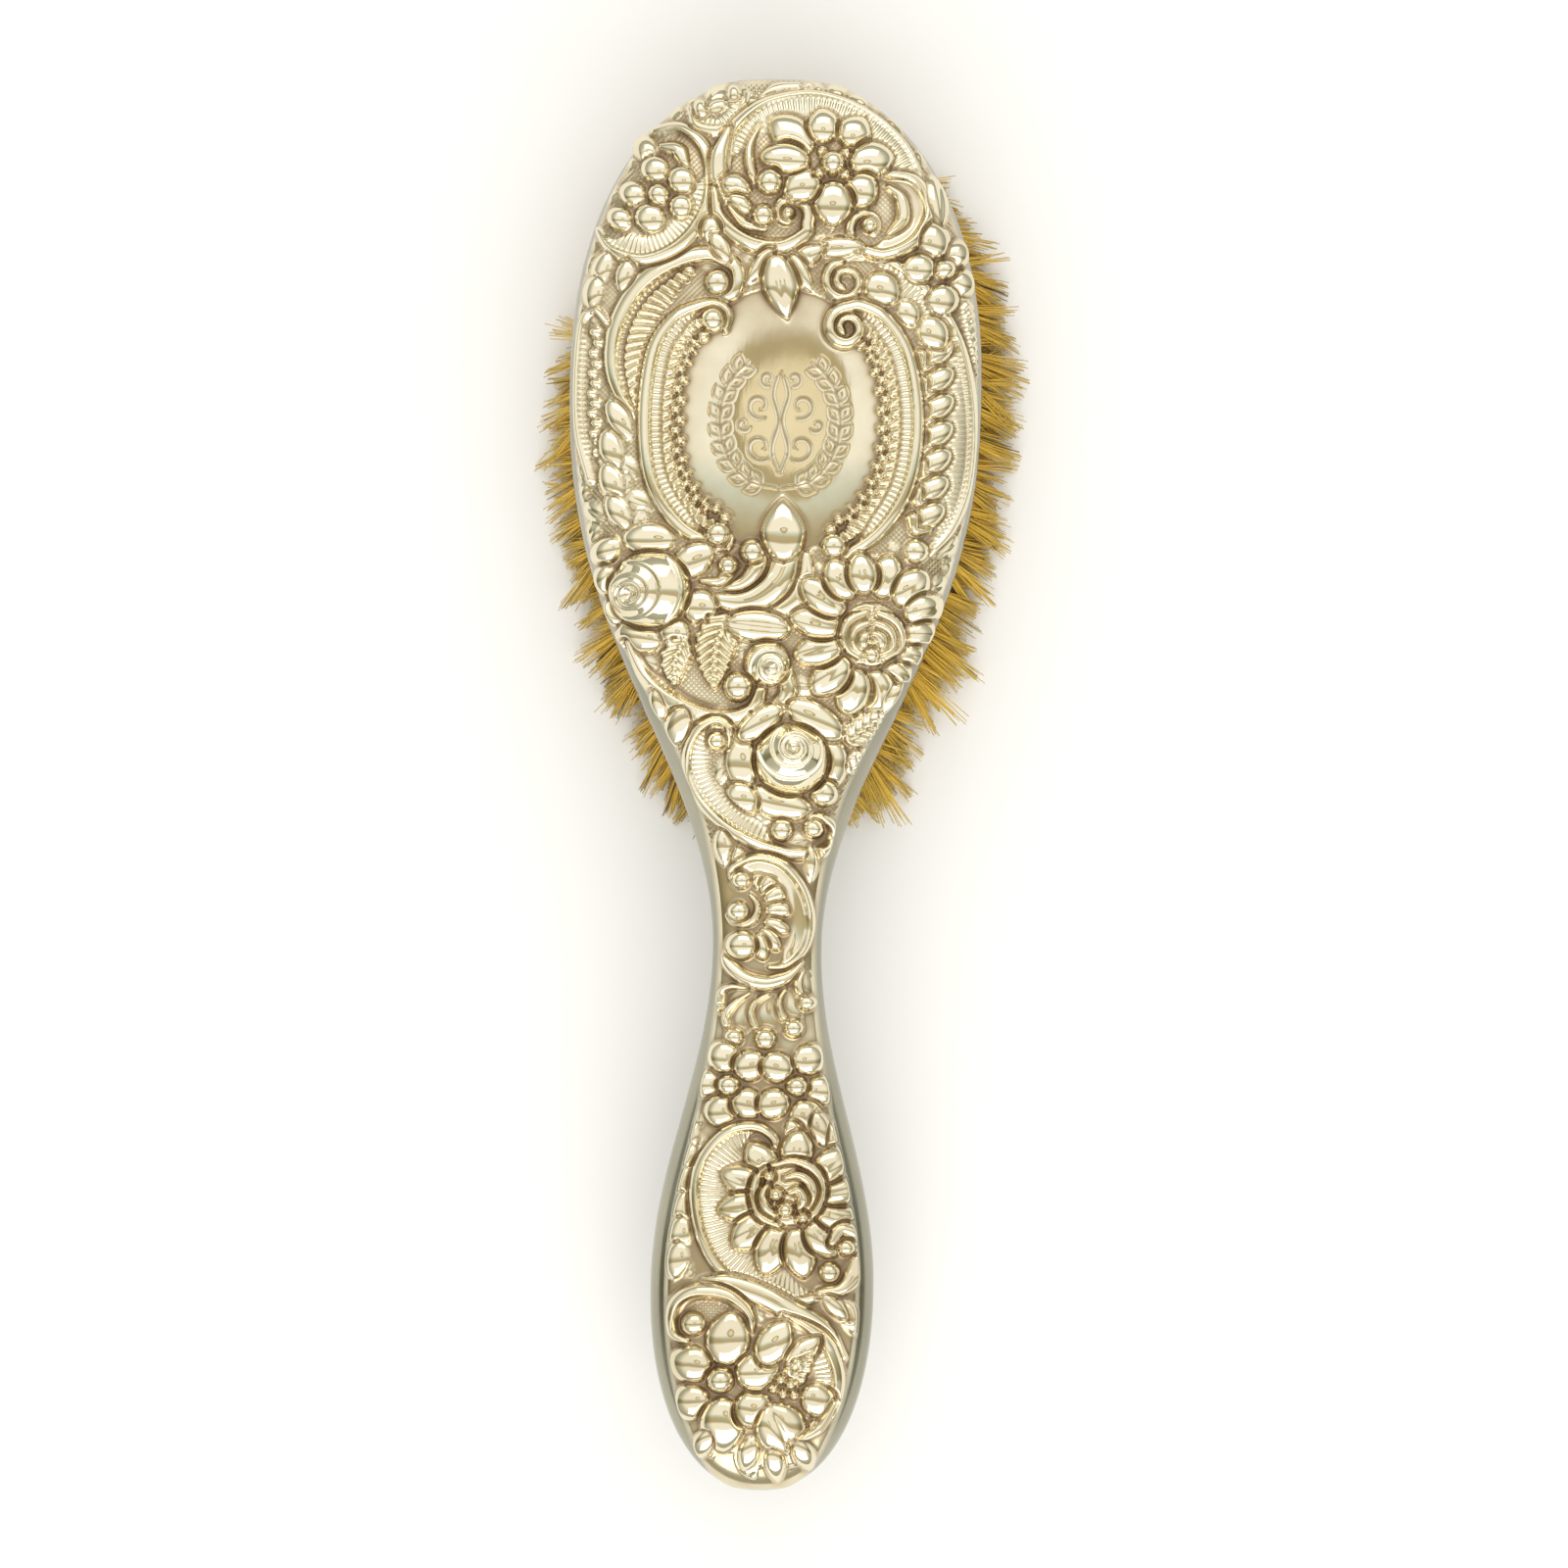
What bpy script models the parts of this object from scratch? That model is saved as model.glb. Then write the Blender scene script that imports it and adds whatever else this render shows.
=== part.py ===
"""A silver-backed vanity hairbrush, lying on its bristles with the back up.

+Y runs from the butt of the handle to the tip of the head, +X to the brush's right as seen
from above, +Z up. The origin is under the middle of the brush, on the plane of the bristle
tips. Sizes are in millimetres until MM turns them into metres.
"""

import math

import bmesh
import bpy
from mathutils import Vector

MM = 0.001

# Driving dimensions
LENGTH = 238.0
HEAD_HALF_WIDTH = 34.9
NECK_HALF_WIDTH = 9.15
BULB_HALF_WIDTH = 18.8
SILVER = 0.6  # gauge of the stamped silver
GAP = 0.3  # clearance between pieces that touch

TIP_Y = LENGTH / 2
BUTT_Y = -LENGTH / 2
WIDEST_Y = TIP_Y - 52.0
NECK_Y = TIP_Y - 146.5
BULB_Y = TIP_Y - 203.8
END_POWER = 2.2  # superellipse exponent of both ends in plan
SHOULDER_SKEW = 1.225  # pulls the head's taper towards the neck

# Heights above the bristle tips
FACE_Z = 16.0  # the drilled face that the bristles leave
SKIRT_Z = 17.0  # lower edge of the silver round the head
HANDLE_SEAM_Z = 20.5  # where the handle's two halves meet
BLOCK_TOP_Z = 21.5
BOARD_TOP_Z = 24.3
HEAD_CROWN = 13.0  # silver above the seam
NECK_CROWN = 6.5
BULB_CROWN = 8.0
THROAT_DEPTH = 1.2  # silver below the seam
NECK_DEPTH = 4.5
BULB_DEPTH = 7.0
HEAD_SQUARENESS = 3.0  # cross-section exponents
HANDLE_SQUARENESS = 2.3
SEAM_RISE = (15.0, -25.0)  # the seam climbs between these two places along Y

# Wood and filling
BLOCK_INSET = 1.8
BLOCK_END_Y = -2.0
BLOCK_ROUND_START_Y = 25.0
BOARD_INSET = 3.5
TAIL_HALF_WIDTH = 4.5
TAIL_END_Y = -40.0
UNDERSIDE_FRONT_Y = 2.0
CEMENT_FRONT_Y = -6.0
ROD_RADIUS = 2.0
ROD_Z = 21.0
ROD_END_Y = -106.0

# Bristle tufts
ROWS = 9
ROW_PITCH = 6.6
TUFT_PITCH = 6.6
TUFT_MARGIN = 3.6  # from a hole's centre to the block's edge
TUFT_ROOT_RADIUS = 0.85
TUFT_TIP_RADIUS = 2.2
TUFT_SIDES = 6
HOLE_RADIUS = 1.15
GROOVE_WIDTH = 2.8
GROOVE_DEPTH = 2.5
LOOP_STRIP_WIDTH = 2.2
LOOP_STRIP_THICKNESS = 0.8
WIRE_RADIUS = 0.3
HEAD_CENTRE_Y = 57.0
SPLAY_HALF_LENGTH = 57.0
SIDE_SPLAY = 13.5  # how far the outermost tips lean out sideways
TIP_SPLAY = 5.5
THROAT_SPLAY = 9.0
SPLAY_POWER = 2.0

# Pins that hold the bristle block to the backing board
PIN_PLACES = ((2.5, 94.0), (3.5, 58.0), (1.5, 20.0))  # (row pitches from the middle, y)
PIN_RADIUS = 0.6
PIN_HEAD_RADIUS = 1.2
PIN_HEAD_HEIGHT = 0.5
PIN_REACH = 5.5

OUTLINE_STEPS = 600
SHELL_STATIONS = 40
SHELL_SPANS = 12


def smoothstep(a, b, value):
    t = min(max((value - a) / (b - a), 0.0), 1.0)
    return t * t * (3 - 2 * t)


def blend_by_y(y, head, neck, bulb):
    """A size that has one value over the head, one at the neck and one at the bulb."""
    if y > NECK_Y:
        return neck + (head - neck) * smoothstep(NECK_Y, NECK_Y + 55, y)
    return neck + (bulb - neck) * smoothstep(NECK_Y, BULB_Y, y)


def half_width(y):
    """Half the silver's width in plan."""
    if y >= WIDEST_Y:
        reach = (y - WIDEST_Y) / (TIP_Y - WIDEST_Y)
        return HEAD_HALF_WIDTH * max(1 - reach**END_POWER, 0) ** (1 / END_POWER)
    if y >= NECK_Y:
        share = ((WIDEST_Y - y) / (WIDEST_Y - NECK_Y)) ** SHOULDER_SKEW
        swing = 0.5 + 0.5 * math.cos(math.pi * share)
        return NECK_HALF_WIDTH + (HEAD_HALF_WIDTH - NECK_HALF_WIDTH) * swing
    if y >= BULB_Y:
        swing = 0.5 - 0.5 * math.cos(math.pi * (NECK_Y - y) / (NECK_Y - BULB_Y))
        return NECK_HALF_WIDTH + (BULB_HALF_WIDTH - NECK_HALF_WIDTH) * swing
    reach = (BULB_Y - y) / (BULB_Y - BUTT_Y)
    return BULB_HALF_WIDTH * max(1 - reach**END_POWER, 0) ** (1 / END_POWER)


def outline(inset, stations):
    """(y, half width) from tip to butt, moved in by inset, evenly spaced along the edge."""
    angles = [math.pi * i / OUTLINE_STEPS for i in range(OUTLINE_STEPS + 1)]
    edge = [(TIP_Y * math.cos(a), half_width(TIP_Y * math.cos(a))) for a in angles]
    edge[0], edge[-1] = (TIP_Y, 0.0), (BUTT_Y, 0.0)
    moved = []
    for i, (y, width) in enumerate(edge):
        before, after = edge[max(i - 1, 0)], edge[min(i + 1, OUTLINE_STEPS)]
        along = Vector((after[0] - before[0], after[1] - before[1])).normalized()
        if i in (0, OUTLINE_STEPS):
            moved.append((y - math.copysign(inset, y), 0.0))
        else:
            moved.append((y - inset * along[1], max(width + inset * along[0], 0.0)))
    travelled = [0.0]
    for (y0, w0), (y1, w1) in zip(moved, moved[1:]):
        travelled.append(travelled[-1] + math.hypot(y1 - y0, w1 - w0))
    found, k = [], 0
    for i in range(stations + 1):
        goal = travelled[-1] * i / stations
        while k < OUTLINE_STEPS - 1 and travelled[k + 1] < goal:
            k += 1
        share = (goal - travelled[k]) / (travelled[k + 1] - travelled[k])
        found.append(tuple(a + (b - a) * share for a, b in zip(moved[k], moved[k + 1])))
    return found


def seam_z(y):
    return SKIRT_Z + (HANDLE_SEAM_Z - SKIRT_Z) * (1 - smoothstep(SEAM_RISE[1], SEAM_RISE[0], y))


def squareness(y):
    return blend_by_y(y, HEAD_SQUARENESS, HANDLE_SQUARENESS, HANDLE_SQUARENESS)


def end_roll(y, inset):
    """From 0 at either end to 1 where the rounding over the end is done."""
    run = HEAD_HALF_WIDTH if y > 0 else BULB_HALF_WIDTH
    from_end = min(max((TIP_Y - inset - abs(y)) / run, 0.0), 1.0)
    power = squareness(y)
    return (1 - (1 - from_end) ** power) ** (1 / power)


def crown(y, inset):
    """Height of the top above the seam."""
    full = blend_by_y(y, HEAD_CROWN, NECK_CROWN, BULB_CROWN) - inset
    return full * end_roll(y, inset)


def depth(y, inset):
    """Depth of the handle's underside below the seam."""
    full = blend_by_y(y, THROAT_DEPTH, NECK_DEPTH, BULB_DEPTH) - inset
    return full * end_roll(y, inset)


def arc(y, width, rise, spans):
    """Points of half a superellipse from +X over to -X. A negative rise turns it down."""
    power = 2 / squareness(y)
    points = []
    for i in range(spans + 1):
        angle = math.pi * i / spans
        x = math.copysign(abs(math.cos(angle)) ** power, math.cos(angle)) * width
        z = seam_z(y) + max(math.sin(angle), 0.0) ** power * rise
        points.append(Vector((x, y, z)))
    return points


def new_object(name, bm, material):
    """An object from a bmesh in millimetres."""
    bmesh.ops.remove_doubles(bm, verts=bm.verts, dist=1e-4)
    bmesh.ops.dissolve_degenerate(bm, edges=bm.edges, dist=1e-4)
    bmesh.ops.recalc_face_normals(bm, faces=bm.faces)
    bmesh.ops.scale(bm, verts=bm.verts, vec=(MM, MM, MM))
    mesh = bpy.data.meshes.new(name)
    bm.to_mesh(mesh)
    bm.free()
    if material:
        mesh.materials.append(material)
    obj = bpy.data.objects.new(name, mesh)
    bpy.context.scene.collection.objects.link(obj)
    return obj


def add_rings(bm, rings, cap_ends):
    """Skins a list of closed rings that all have the same number of points."""
    loops = [[bm.verts.new(point) for point in ring] for ring in rings]
    count = len(loops[0])
    for a, b in zip(loops, loops[1:]):
        for i in range(count):
            j = (i + 1) % count
            bm.faces.new((a[i], a[j], b[j], b[i]))
    if cap_ends:
        bm.faces.new(loops[0])
        bm.faces.new(loops[-1])


def add_prism(bm, plan, low, high):
    add_rings(bm, [[Vector((x, y, z)) for x, y in plan] for z in (low, high)], True)


def circle(x, y, radius, sides):
    angles = [2 * math.pi * i / sides for i in range(sides)]
    return [(x + radius * math.cos(a), y + radius * math.sin(a)) for a in angles]


def both_sides(profile):
    """A closed plan outline from its (y, half width) points."""
    right = [(width, y) for y, width in profile]
    left = [(-width, y) for y, width in reversed(profile) if width > 0]
    return right + left


def cutter(name, bm):
    obj = new_object(name, bm, None)
    obj.hide_render = True
    obj.display_type = "WIRE"
    return obj


def boolean(obj, other, operation):
    modifier = obj.modifiers.new(operation.title(), "BOOLEAN")
    modifier.operation = operation
    modifier.object = other
    modifier.solver = "EXACT"


def finish(name, base_color, roughness, metallic):
    material = bpy.data.materials.new(name)
    material.use_nodes = True
    shader = material.node_tree.nodes["Principled BSDF"]
    shader.inputs["Base Color"].default_value = (*base_color, 1.0)
    shader.inputs["Roughness"].default_value = roughness
    shader.inputs["Metallic"].default_value = metallic
    return material


def smooth(obj):
    obj.data.shade_smooth()
    obj.data.set_sharp_from_angle(angle=math.radians(40))


def make_back(material):
    """The one stamping that covers the head and the top half of the handle."""
    outer = outline(0.0, SHELL_STATIONS)
    inner = outline(SILVER, SHELL_STATIONS)
    rings = []
    for (y0, w0), (y1, w1) in zip(outer, inner):
        over = arc(y0, w0, crown(y0, 0.0), SHELL_SPANS)
        under = arc(y1, w1, crown(y1, SILVER), SHELL_SPANS)
        rings.append(over + under[::-1])
    bm = bmesh.new()
    add_rings(bm, rings, False)
    smooth(new_object("silver_back", bm, material))


def handle_profile(inset, front):
    """Stations from a front plane to the butt."""
    profile = [p for p in outline(inset, SHELL_STATIONS) if p[0] < front - 1.0]
    full = outline(inset, OUTLINE_STEPS)
    width = min(full, key=lambda p: abs(p[0] - front))[1]
    return [(front, width)] + profile


def block_half_width(y, inset):
    side = half_width(y) - BLOCK_INSET - inset
    if y >= BLOCK_ROUND_START_Y:
        return side
    start = half_width(BLOCK_ROUND_START_Y) - BLOCK_INSET - inset
    reach = (BLOCK_ROUND_START_Y - y) / (BLOCK_ROUND_START_Y - BLOCK_END_Y - inset)
    return min(side, start * math.sqrt(max(1 - reach * reach, 0.0)))


def block_profile(inset, stations=30):
    """(y, half width) of the bristle block, from its tip to its end in the throat."""
    head = [p for p in outline(BLOCK_INSET + inset, 2 * stations) if p[0] > WIDEST_Y]
    end = BLOCK_END_Y + inset
    rest = []
    for i in range(stations + 1):
        y = end + (WIDEST_Y - end) * math.cos(math.pi / 2 * i / stations)
        rest.append((y, block_half_width(y, inset)))
    rest[-1] = (end, 0.0)
    return head + rest


def make_underside(material):
    """The lower half of the handle, cut to the rounded end of the bristle block."""
    outer = handle_profile(0.0, UNDERSIDE_FRONT_Y)
    inner = handle_profile(SILVER, UNDERSIDE_FRONT_Y)
    rings = []
    for (y0, w0), (y1, w1) in zip(outer, inner):
        out_arc = arc(y0, w0, -depth(y0, 0.0), SHELL_SPANS)
        in_arc = arc(y1, w1, -depth(y1, SILVER), SHELL_SPANS)
        for point in out_arc + in_arc:
            point.z -= GAP
        rings.append(out_arc + in_arc[::-1])
    bm = bmesh.new()
    add_rings(bm, rings, False)
    bmesh.ops.holes_fill(bm, edges=[e for e in bm.edges if e.is_boundary])
    shell = new_object("handle_underside", bm, material)
    bm = bmesh.new()
    add_prism(bm, both_sides(block_profile(-GAP)), FACE_Z - 4, BLOCK_TOP_Z)
    boolean(shell, cutter("block_recess", bm), "DIFFERENCE")
    smooth(shell)


def tuft_places():
    """{row number: [(x, y) of each tuft hole]}, in rows along Y."""
    edge = block_profile(TUFT_MARGIN, 60)
    rows = {}
    for row in range(ROWS):
        x = (row - (ROWS - 1) / 2) * ROW_PITCH
        inside = [y for y, width in edge if width >= abs(x)]
        low, high = min(inside), max(inside)
        count = int((high - low) / TUFT_PITCH) + 1
        start = (low + high) / 2 - (count - 1) * TUFT_PITCH / 2
        rows[row] = [(x, start + i * TUFT_PITCH) for i in range(count)]
    return rows


def splay(x, y):
    """How far the tip of the tuft rooted at x, y leans out: most at the rim."""
    across = x / (HEAD_HALF_WIDTH - 6)
    along = (y - HEAD_CENTRE_Y) / SPLAY_HALF_LENGTH
    rim = min(math.hypot(across, along), 1.0) ** SPLAY_POWER
    along_splay = TIP_SPLAY if along > 0 else THROAT_SPLAY
    return Vector((across * rim * SIDE_SPLAY, along * rim * along_splay, 0))


def add_tuft(bm, x, y, top_z):
    """One tuft, straight through its hole and then leaning out and spreading."""
    root = Vector((x, y, 0))
    lean = splay(x, y)
    rings = []
    for z, share in ((top_z, 0.0), (FACE_Z, 0.0), (0.0, 1.0)):
        radius = TUFT_ROOT_RADIUS + (TUFT_TIP_RADIUS - TUFT_ROOT_RADIUS) * share
        centre = root + lean * share
        plan = circle(centre.x, centre.y, radius, TUFT_SIDES)
        rings.append([Vector((px, py, z)) for px, py in plan])
    add_rings(bm, rings, True)


def make_bristle_rows(rows, material):
    """Each row's tufts, joined at the roots by the loops that the wire draws up."""
    strip_low = BLOCK_TOP_Z - GROOVE_DEPTH + GAP
    strip_high = strip_low + LOOP_STRIP_THICKNESS
    for row, places in rows.items():
        x = places[0][0]
        bm = bmesh.new()
        half, reach = LOOP_STRIP_WIDTH / 2, TUFT_ROOT_RADIUS * 0.7
        low_y, high_y = places[0][1] - reach, places[-1][1] + reach
        corners = [(x - half, low_y), (x + half, low_y), (x + half, high_y), (x - half, high_y)]
        add_prism(bm, corners, strip_low, strip_high)
        strip = new_object(f"bristle_row_{row + 1:02d}", bm, material)
        bm = bmesh.new()
        for place in places:
            add_tuft(bm, *place, (strip_low + strip_high) / 2)
        boolean(strip, cutter(f"tufts_{row + 1:02d}", bm), "UNION")


def make_wires(rows, material):
    """The drawing wire of each row, in its groove above the bristle loops."""
    z = BLOCK_TOP_Z - GAP - WIRE_RADIUS
    for row, places in rows.items():
        x = places[0][0]
        ends = (places[0][1] - TUFT_ROOT_RADIUS, places[-1][1] + TUFT_ROOT_RADIUS)
        plan = circle(x, z, WIRE_RADIUS, 6)
        bm = bmesh.new()
        add_rings(bm, [[Vector((px, y, pz)) for px, pz in plan] for y in ends], True)
        smooth(new_object(f"drawing_wire_{row + 1:02d}", bm, material))


def pin_places():
    """Pins stand midway between two grooves, one on each side of the middle."""
    for pitches, y in PIN_PLACES:
        for side in (-1, 1):
            yield side * pitches * ROW_PITCH, y


def make_pins(material):
    for number, (x, y) in enumerate(pin_places(), 1):
        bm = bmesh.new()
        rings = []
        for radius, z in (
            (PIN_HEAD_RADIUS * 0.6, FACE_Z - GAP - PIN_HEAD_HEIGHT),
            (PIN_HEAD_RADIUS, FACE_Z - GAP - PIN_HEAD_HEIGHT * 0.4),
            (PIN_HEAD_RADIUS, FACE_Z - GAP),
            (PIN_RADIUS, FACE_Z - GAP),
            (PIN_RADIUS, FACE_Z + PIN_REACH + 1.2),
            (PIN_RADIUS * 0.3, FACE_Z + PIN_REACH + 2.0),
        ):
            rings.append([Vector((px, py, z)) for px, py in circle(x, y, radius, 10)])
        add_rings(bm, rings, True)
        smooth(new_object(f"block_pin_{number}", bm, material))


def make_block(rows, material):
    """The drilled wooden block, grooved on its hidden side for the drawing wires."""
    bm = bmesh.new()
    add_prism(bm, both_sides(block_profile(0.0)), FACE_Z, BLOCK_TOP_Z)
    block = new_object("bristle_block", bm, material)
    bm = bmesh.new()
    half = GROOVE_WIDTH / 2
    for places in rows.values():
        x, low, high = places[0][0], places[0][1] - 2.0, places[-1][1] + 2.0
        corners = [(x - half, low), (x + half, low), (x + half, high), (x - half, high)]
        add_prism(bm, corners, BLOCK_TOP_Z - GROOVE_DEPTH, BLOCK_TOP_Z + 1)
    boolean(block, cutter("wire_grooves", bm), "DIFFERENCE")
    bm = bmesh.new()
    for places in rows.values():
        for x, y in places:
            add_prism(bm, circle(x, y, HOLE_RADIUS, TUFT_SIDES), FACE_Z - 1, BLOCK_TOP_Z - 1)
    for x, y in pin_places():
        add_prism(bm, circle(x, y, PIN_RADIUS + GAP, 8), FACE_Z - 1, BLOCK_TOP_Z + 2)
    boolean(block, cutter("drilled_holes", bm), "DIFFERENCE")


def board_plan(inset):
    """The backing board's outline, with the tail that runs into the handle."""
    profile = block_profile(BOARD_INSET - BLOCK_INSET + inset)
    kept = [p for p in profile if p[1] > TAIL_HALF_WIDTH - inset or p[0] > 0]
    end = TAIL_END_Y + inset
    kept.append((kept[-1][0] - 1.0, TAIL_HALF_WIDTH - inset))
    kept.append((end + 3.0, TAIL_HALF_WIDTH - inset))
    kept.append((end, TAIL_HALF_WIDTH - inset - 2.0))
    return both_sides(kept)


def make_board(material):
    """The board glued over the wires, with a tail that ties the head to the handle."""
    bm = bmesh.new()
    add_prism(bm, board_plan(0.0), BLOCK_TOP_Z + GAP, BOARD_TOP_Z)
    board = new_object("backing_board", bm, material)
    bm = bmesh.new()
    top = FACE_Z + PIN_REACH + 2.0 + GAP
    for x, y in pin_places():
        add_prism(bm, circle(x, y, PIN_RADIUS + GAP, 8), BLOCK_TOP_Z - 1, top)
    boolean(board, cutter("pin_holes", bm), "DIFFERENCE")
    return board


def make_head_cement(material):
    """The pitch between the backing board and the silver."""
    inset = SILVER + GAP
    rings = []
    for y, width in outline(inset, SHELL_STATIONS):
        if y > CEMENT_FRONT_Y:
            rings.append(arc(y, width, crown(y, inset), SHELL_SPANS))
    bm = bmesh.new()
    add_rings(bm, rings, False)
    bmesh.ops.holes_fill(bm, edges=[e for e in bm.edges if e.is_boundary])
    cement = new_object("head_cement", bm, material)
    bm = bmesh.new()
    wide, far = HEAD_HALF_WIDTH + 10, TIP_Y + 10
    slab = [(-wide, -20.0), (wide, -20.0), (wide, far), (-wide, far)]
    add_prism(bm, slab, 0.0, BLOCK_TOP_Z + GAP)
    boolean(cement, cutter("below_board", bm), "DIFFERENCE")
    bm = bmesh.new()
    add_prism(bm, board_plan(-GAP), BLOCK_TOP_Z - 1, BOARD_TOP_Z + GAP)
    boolean(cement, cutter("board_recess", bm), "DIFFERENCE")


def make_handle_cement(material):
    """The pitch that fills the hollow handle round the tail and the rod."""
    inset = SILVER + GAP
    rings = []
    for y, width in handle_profile(inset, CEMENT_FRONT_Y - 2 * GAP):
        over = arc(y, width, crown(y, inset), SHELL_SPANS)
        under = arc(y, width, -depth(y, inset) * 0.96, SHELL_SPANS)
        rings.append(over + under[-2:0:-1])
    bm = bmesh.new()
    add_rings(bm, rings, False)
    bmesh.ops.holes_fill(bm, edges=[e for e in bm.edges if e.is_boundary])
    cement = new_object("handle_cement", bm, material)
    bm = bmesh.new()
    add_prism(bm, board_plan(-GAP), BLOCK_TOP_Z, BOARD_TOP_Z + GAP)
    boolean(cement, cutter("tail_slot", bm), "DIFFERENCE")
    bm = bmesh.new()
    plan = circle(0.0, ROD_Z, ROD_RADIUS + GAP, 12)
    ends = (TAIL_END_Y + 2.0, ROD_END_Y - GAP)
    add_rings(bm, [[Vector((px, y, pz)) for px, pz in plan] for y in ends], True)
    boolean(cement, cutter("rod_socket", bm), "DIFFERENCE")


def make_rod(material):
    """The iron rod set in the pitch, which stiffens and balances the handle."""
    bm = bmesh.new()
    rings = []
    for radius, y in (
        (ROD_RADIUS - 0.6, TAIL_END_Y - GAP),
        (ROD_RADIUS, TAIL_END_Y - GAP - 0.6),
        (ROD_RADIUS, ROD_END_Y + 0.6),
        (ROD_RADIUS - 0.6, ROD_END_Y),
    ):
        plan = circle(0.0, ROD_Z, radius, 12)
        rings.append([Vector((px, y, pz)) for px, pz in plan])
    add_rings(bm, rings, True)
    smooth(new_object("handle_rod", bm, material))


def main():
    for obj in list(bpy.data.objects):
        bpy.data.objects.remove(obj)
    silver = finish("silver", (0.80, 0.76, 0.66), 0.22, 1.0)
    wood = finish("pear_wood", (0.46, 0.27, 0.13), 0.5, 0.0)
    pitch = finish("pitch", (0.05, 0.035, 0.025), 0.6, 0.0)
    iron = finish("iron", (0.25, 0.24, 0.23), 0.5, 1.0)
    brass = finish("brass", (0.72, 0.53, 0.24), 0.35, 1.0)
    bristle = finish("bristle", (0.72, 0.46, 0.10), 0.5, 0.0)
    rows = tuft_places()
    make_back(silver)
    make_underside(silver)
    make_block(rows, wood)
    make_board(wood)
    make_head_cement(pitch)
    make_handle_cement(pitch)
    make_rod(iron)
    make_bristle_rows(rows, bristle)
    make_wires(rows, brass)
    make_pins(brass)


main()
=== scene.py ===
"""The looks of a silver-backed vanity hairbrush that lies on its bristles, back up.

Ornament is laid out in plan, in millimetres: +y runs to the tip of the head, +x to the right
seen from above, with the origin under the middle of the brush.
"""

import math

import bpy
import numpy as np
from mathutils import Matrix, Vector


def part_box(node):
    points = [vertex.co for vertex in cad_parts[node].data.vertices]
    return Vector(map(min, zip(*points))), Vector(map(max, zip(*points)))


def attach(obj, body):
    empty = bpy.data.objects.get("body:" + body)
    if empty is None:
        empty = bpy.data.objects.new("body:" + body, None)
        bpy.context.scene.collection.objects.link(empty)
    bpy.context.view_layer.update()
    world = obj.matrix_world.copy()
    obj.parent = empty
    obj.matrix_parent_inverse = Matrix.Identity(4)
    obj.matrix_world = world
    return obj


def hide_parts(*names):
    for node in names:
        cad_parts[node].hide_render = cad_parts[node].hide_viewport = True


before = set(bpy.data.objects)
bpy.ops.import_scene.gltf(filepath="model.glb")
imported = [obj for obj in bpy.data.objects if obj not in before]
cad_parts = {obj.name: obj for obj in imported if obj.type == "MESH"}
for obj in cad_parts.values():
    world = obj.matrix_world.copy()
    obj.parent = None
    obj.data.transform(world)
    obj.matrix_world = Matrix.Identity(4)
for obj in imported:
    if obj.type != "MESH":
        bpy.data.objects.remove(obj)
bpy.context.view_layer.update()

MM = 0.001
PI = math.pi
BAKE_MAP = "OFBake"  # the silver's own flattened map, one part for each side of the sheet

# Plan and sections of the silver, the same as the solids
LENGTH = 238.0
TIP_Y, BUTT_Y = LENGTH / 2, -LENGTH / 2
WIDEST_Y, NECK_Y, BULB_Y = TIP_Y - 52.0, TIP_Y - 146.5, TIP_Y - 203.8
HEAD_HALF_WIDTH, NECK_HALF_WIDTH, BULB_HALF_WIDTH = 34.9, 9.15, 18.8
END_POWER, SHOULDER_SKEW = 2.2, 1.225
SILVER, GAP = 0.6, 0.3
FACE_Z, SKIRT_Z, HANDLE_SEAM_Z = 16.0, 17.0, 20.5
HEAD_CROWN, NECK_CROWN, BULB_CROWN = 13.0, 6.5, 8.0
THROAT_DEPTH, NECK_DEPTH, BULB_DEPTH = 1.2, 4.5, 7.0
HEAD_SQUARENESS, HANDLE_SQUARENESS = 3.0, 2.3
SEAM_RISE = (15.0, -25.0)
BLOCK_INSET, BLOCK_END_Y, BLOCK_ROUND_START_Y = 1.8, -2.0, 25.0
UNDERSIDE_FRONT_Y = 2.0

# Bristle tufts, the same as the solids
ROWS, ROW_PITCH, TUFT_PITCH = 9, 6.6, 6.6
TUFT_WIRE_REACH = 0.85  # how far a row's wire runs on past its end tufts

# How the bristles lean and spread
RIM_BAND = (8.0, 20.0)  # tufts nearer the edge than the first lean out fully, past the second hardly
INNER_LEAN = 2.0
FRINGE = (1.8, 4.0)  # how far bristles stand out past the silver, left and right
THROAT_FRINGE_LOSS, THROAT_FRINGE_END = 4.5, 40.0
FRINGE_START = (74.0, 98.0)  # above these the left and right fringes tuck in under the head
TUCK_RUN, TUCK = 14.0, 0.85
FRINGE_DROOP, DROOP_RISE = 5.5, (5.0, 75.0)
THROAT_SPLAY, THROAT_SPLAY_END = 7.0, 22.0
LOCKS_PER_TUFT, RIM_LOCKS, HAIRS_PER_LOCK = 12, 26, 8
LOCK_ROOT_SPREAD, LOCK_TIP_SPREAD = 0.6, 2.4
RIM_STRETCH, INNER_STRETCH_SPREAD = (0.62, 1.22), 0.12  # how much a lock's own lean varies
LOWEST_TIP, RIM_TIP_RISE, TIP_RISE_SPREAD = 0.15, 3.4, 0.5
LOCK_BOW = 0.4
LOCK_TONE_AND_SHADE, HAIR_TONE_AND_SHADE = 0.4, 0.6  # what a lock and a hair each add to a hair's tone and painted shade
HAIR_ROOT_SPREAD, HAIR_TIP_SPREAD = 0.3, 0.5
HAIR_ROOT_Z = FACE_Z + 2.0
HAIR_RADIUS, HAIR_SIDES, HAIR_STEPS = 0.17, 3, 4
SEED = 107

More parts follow.
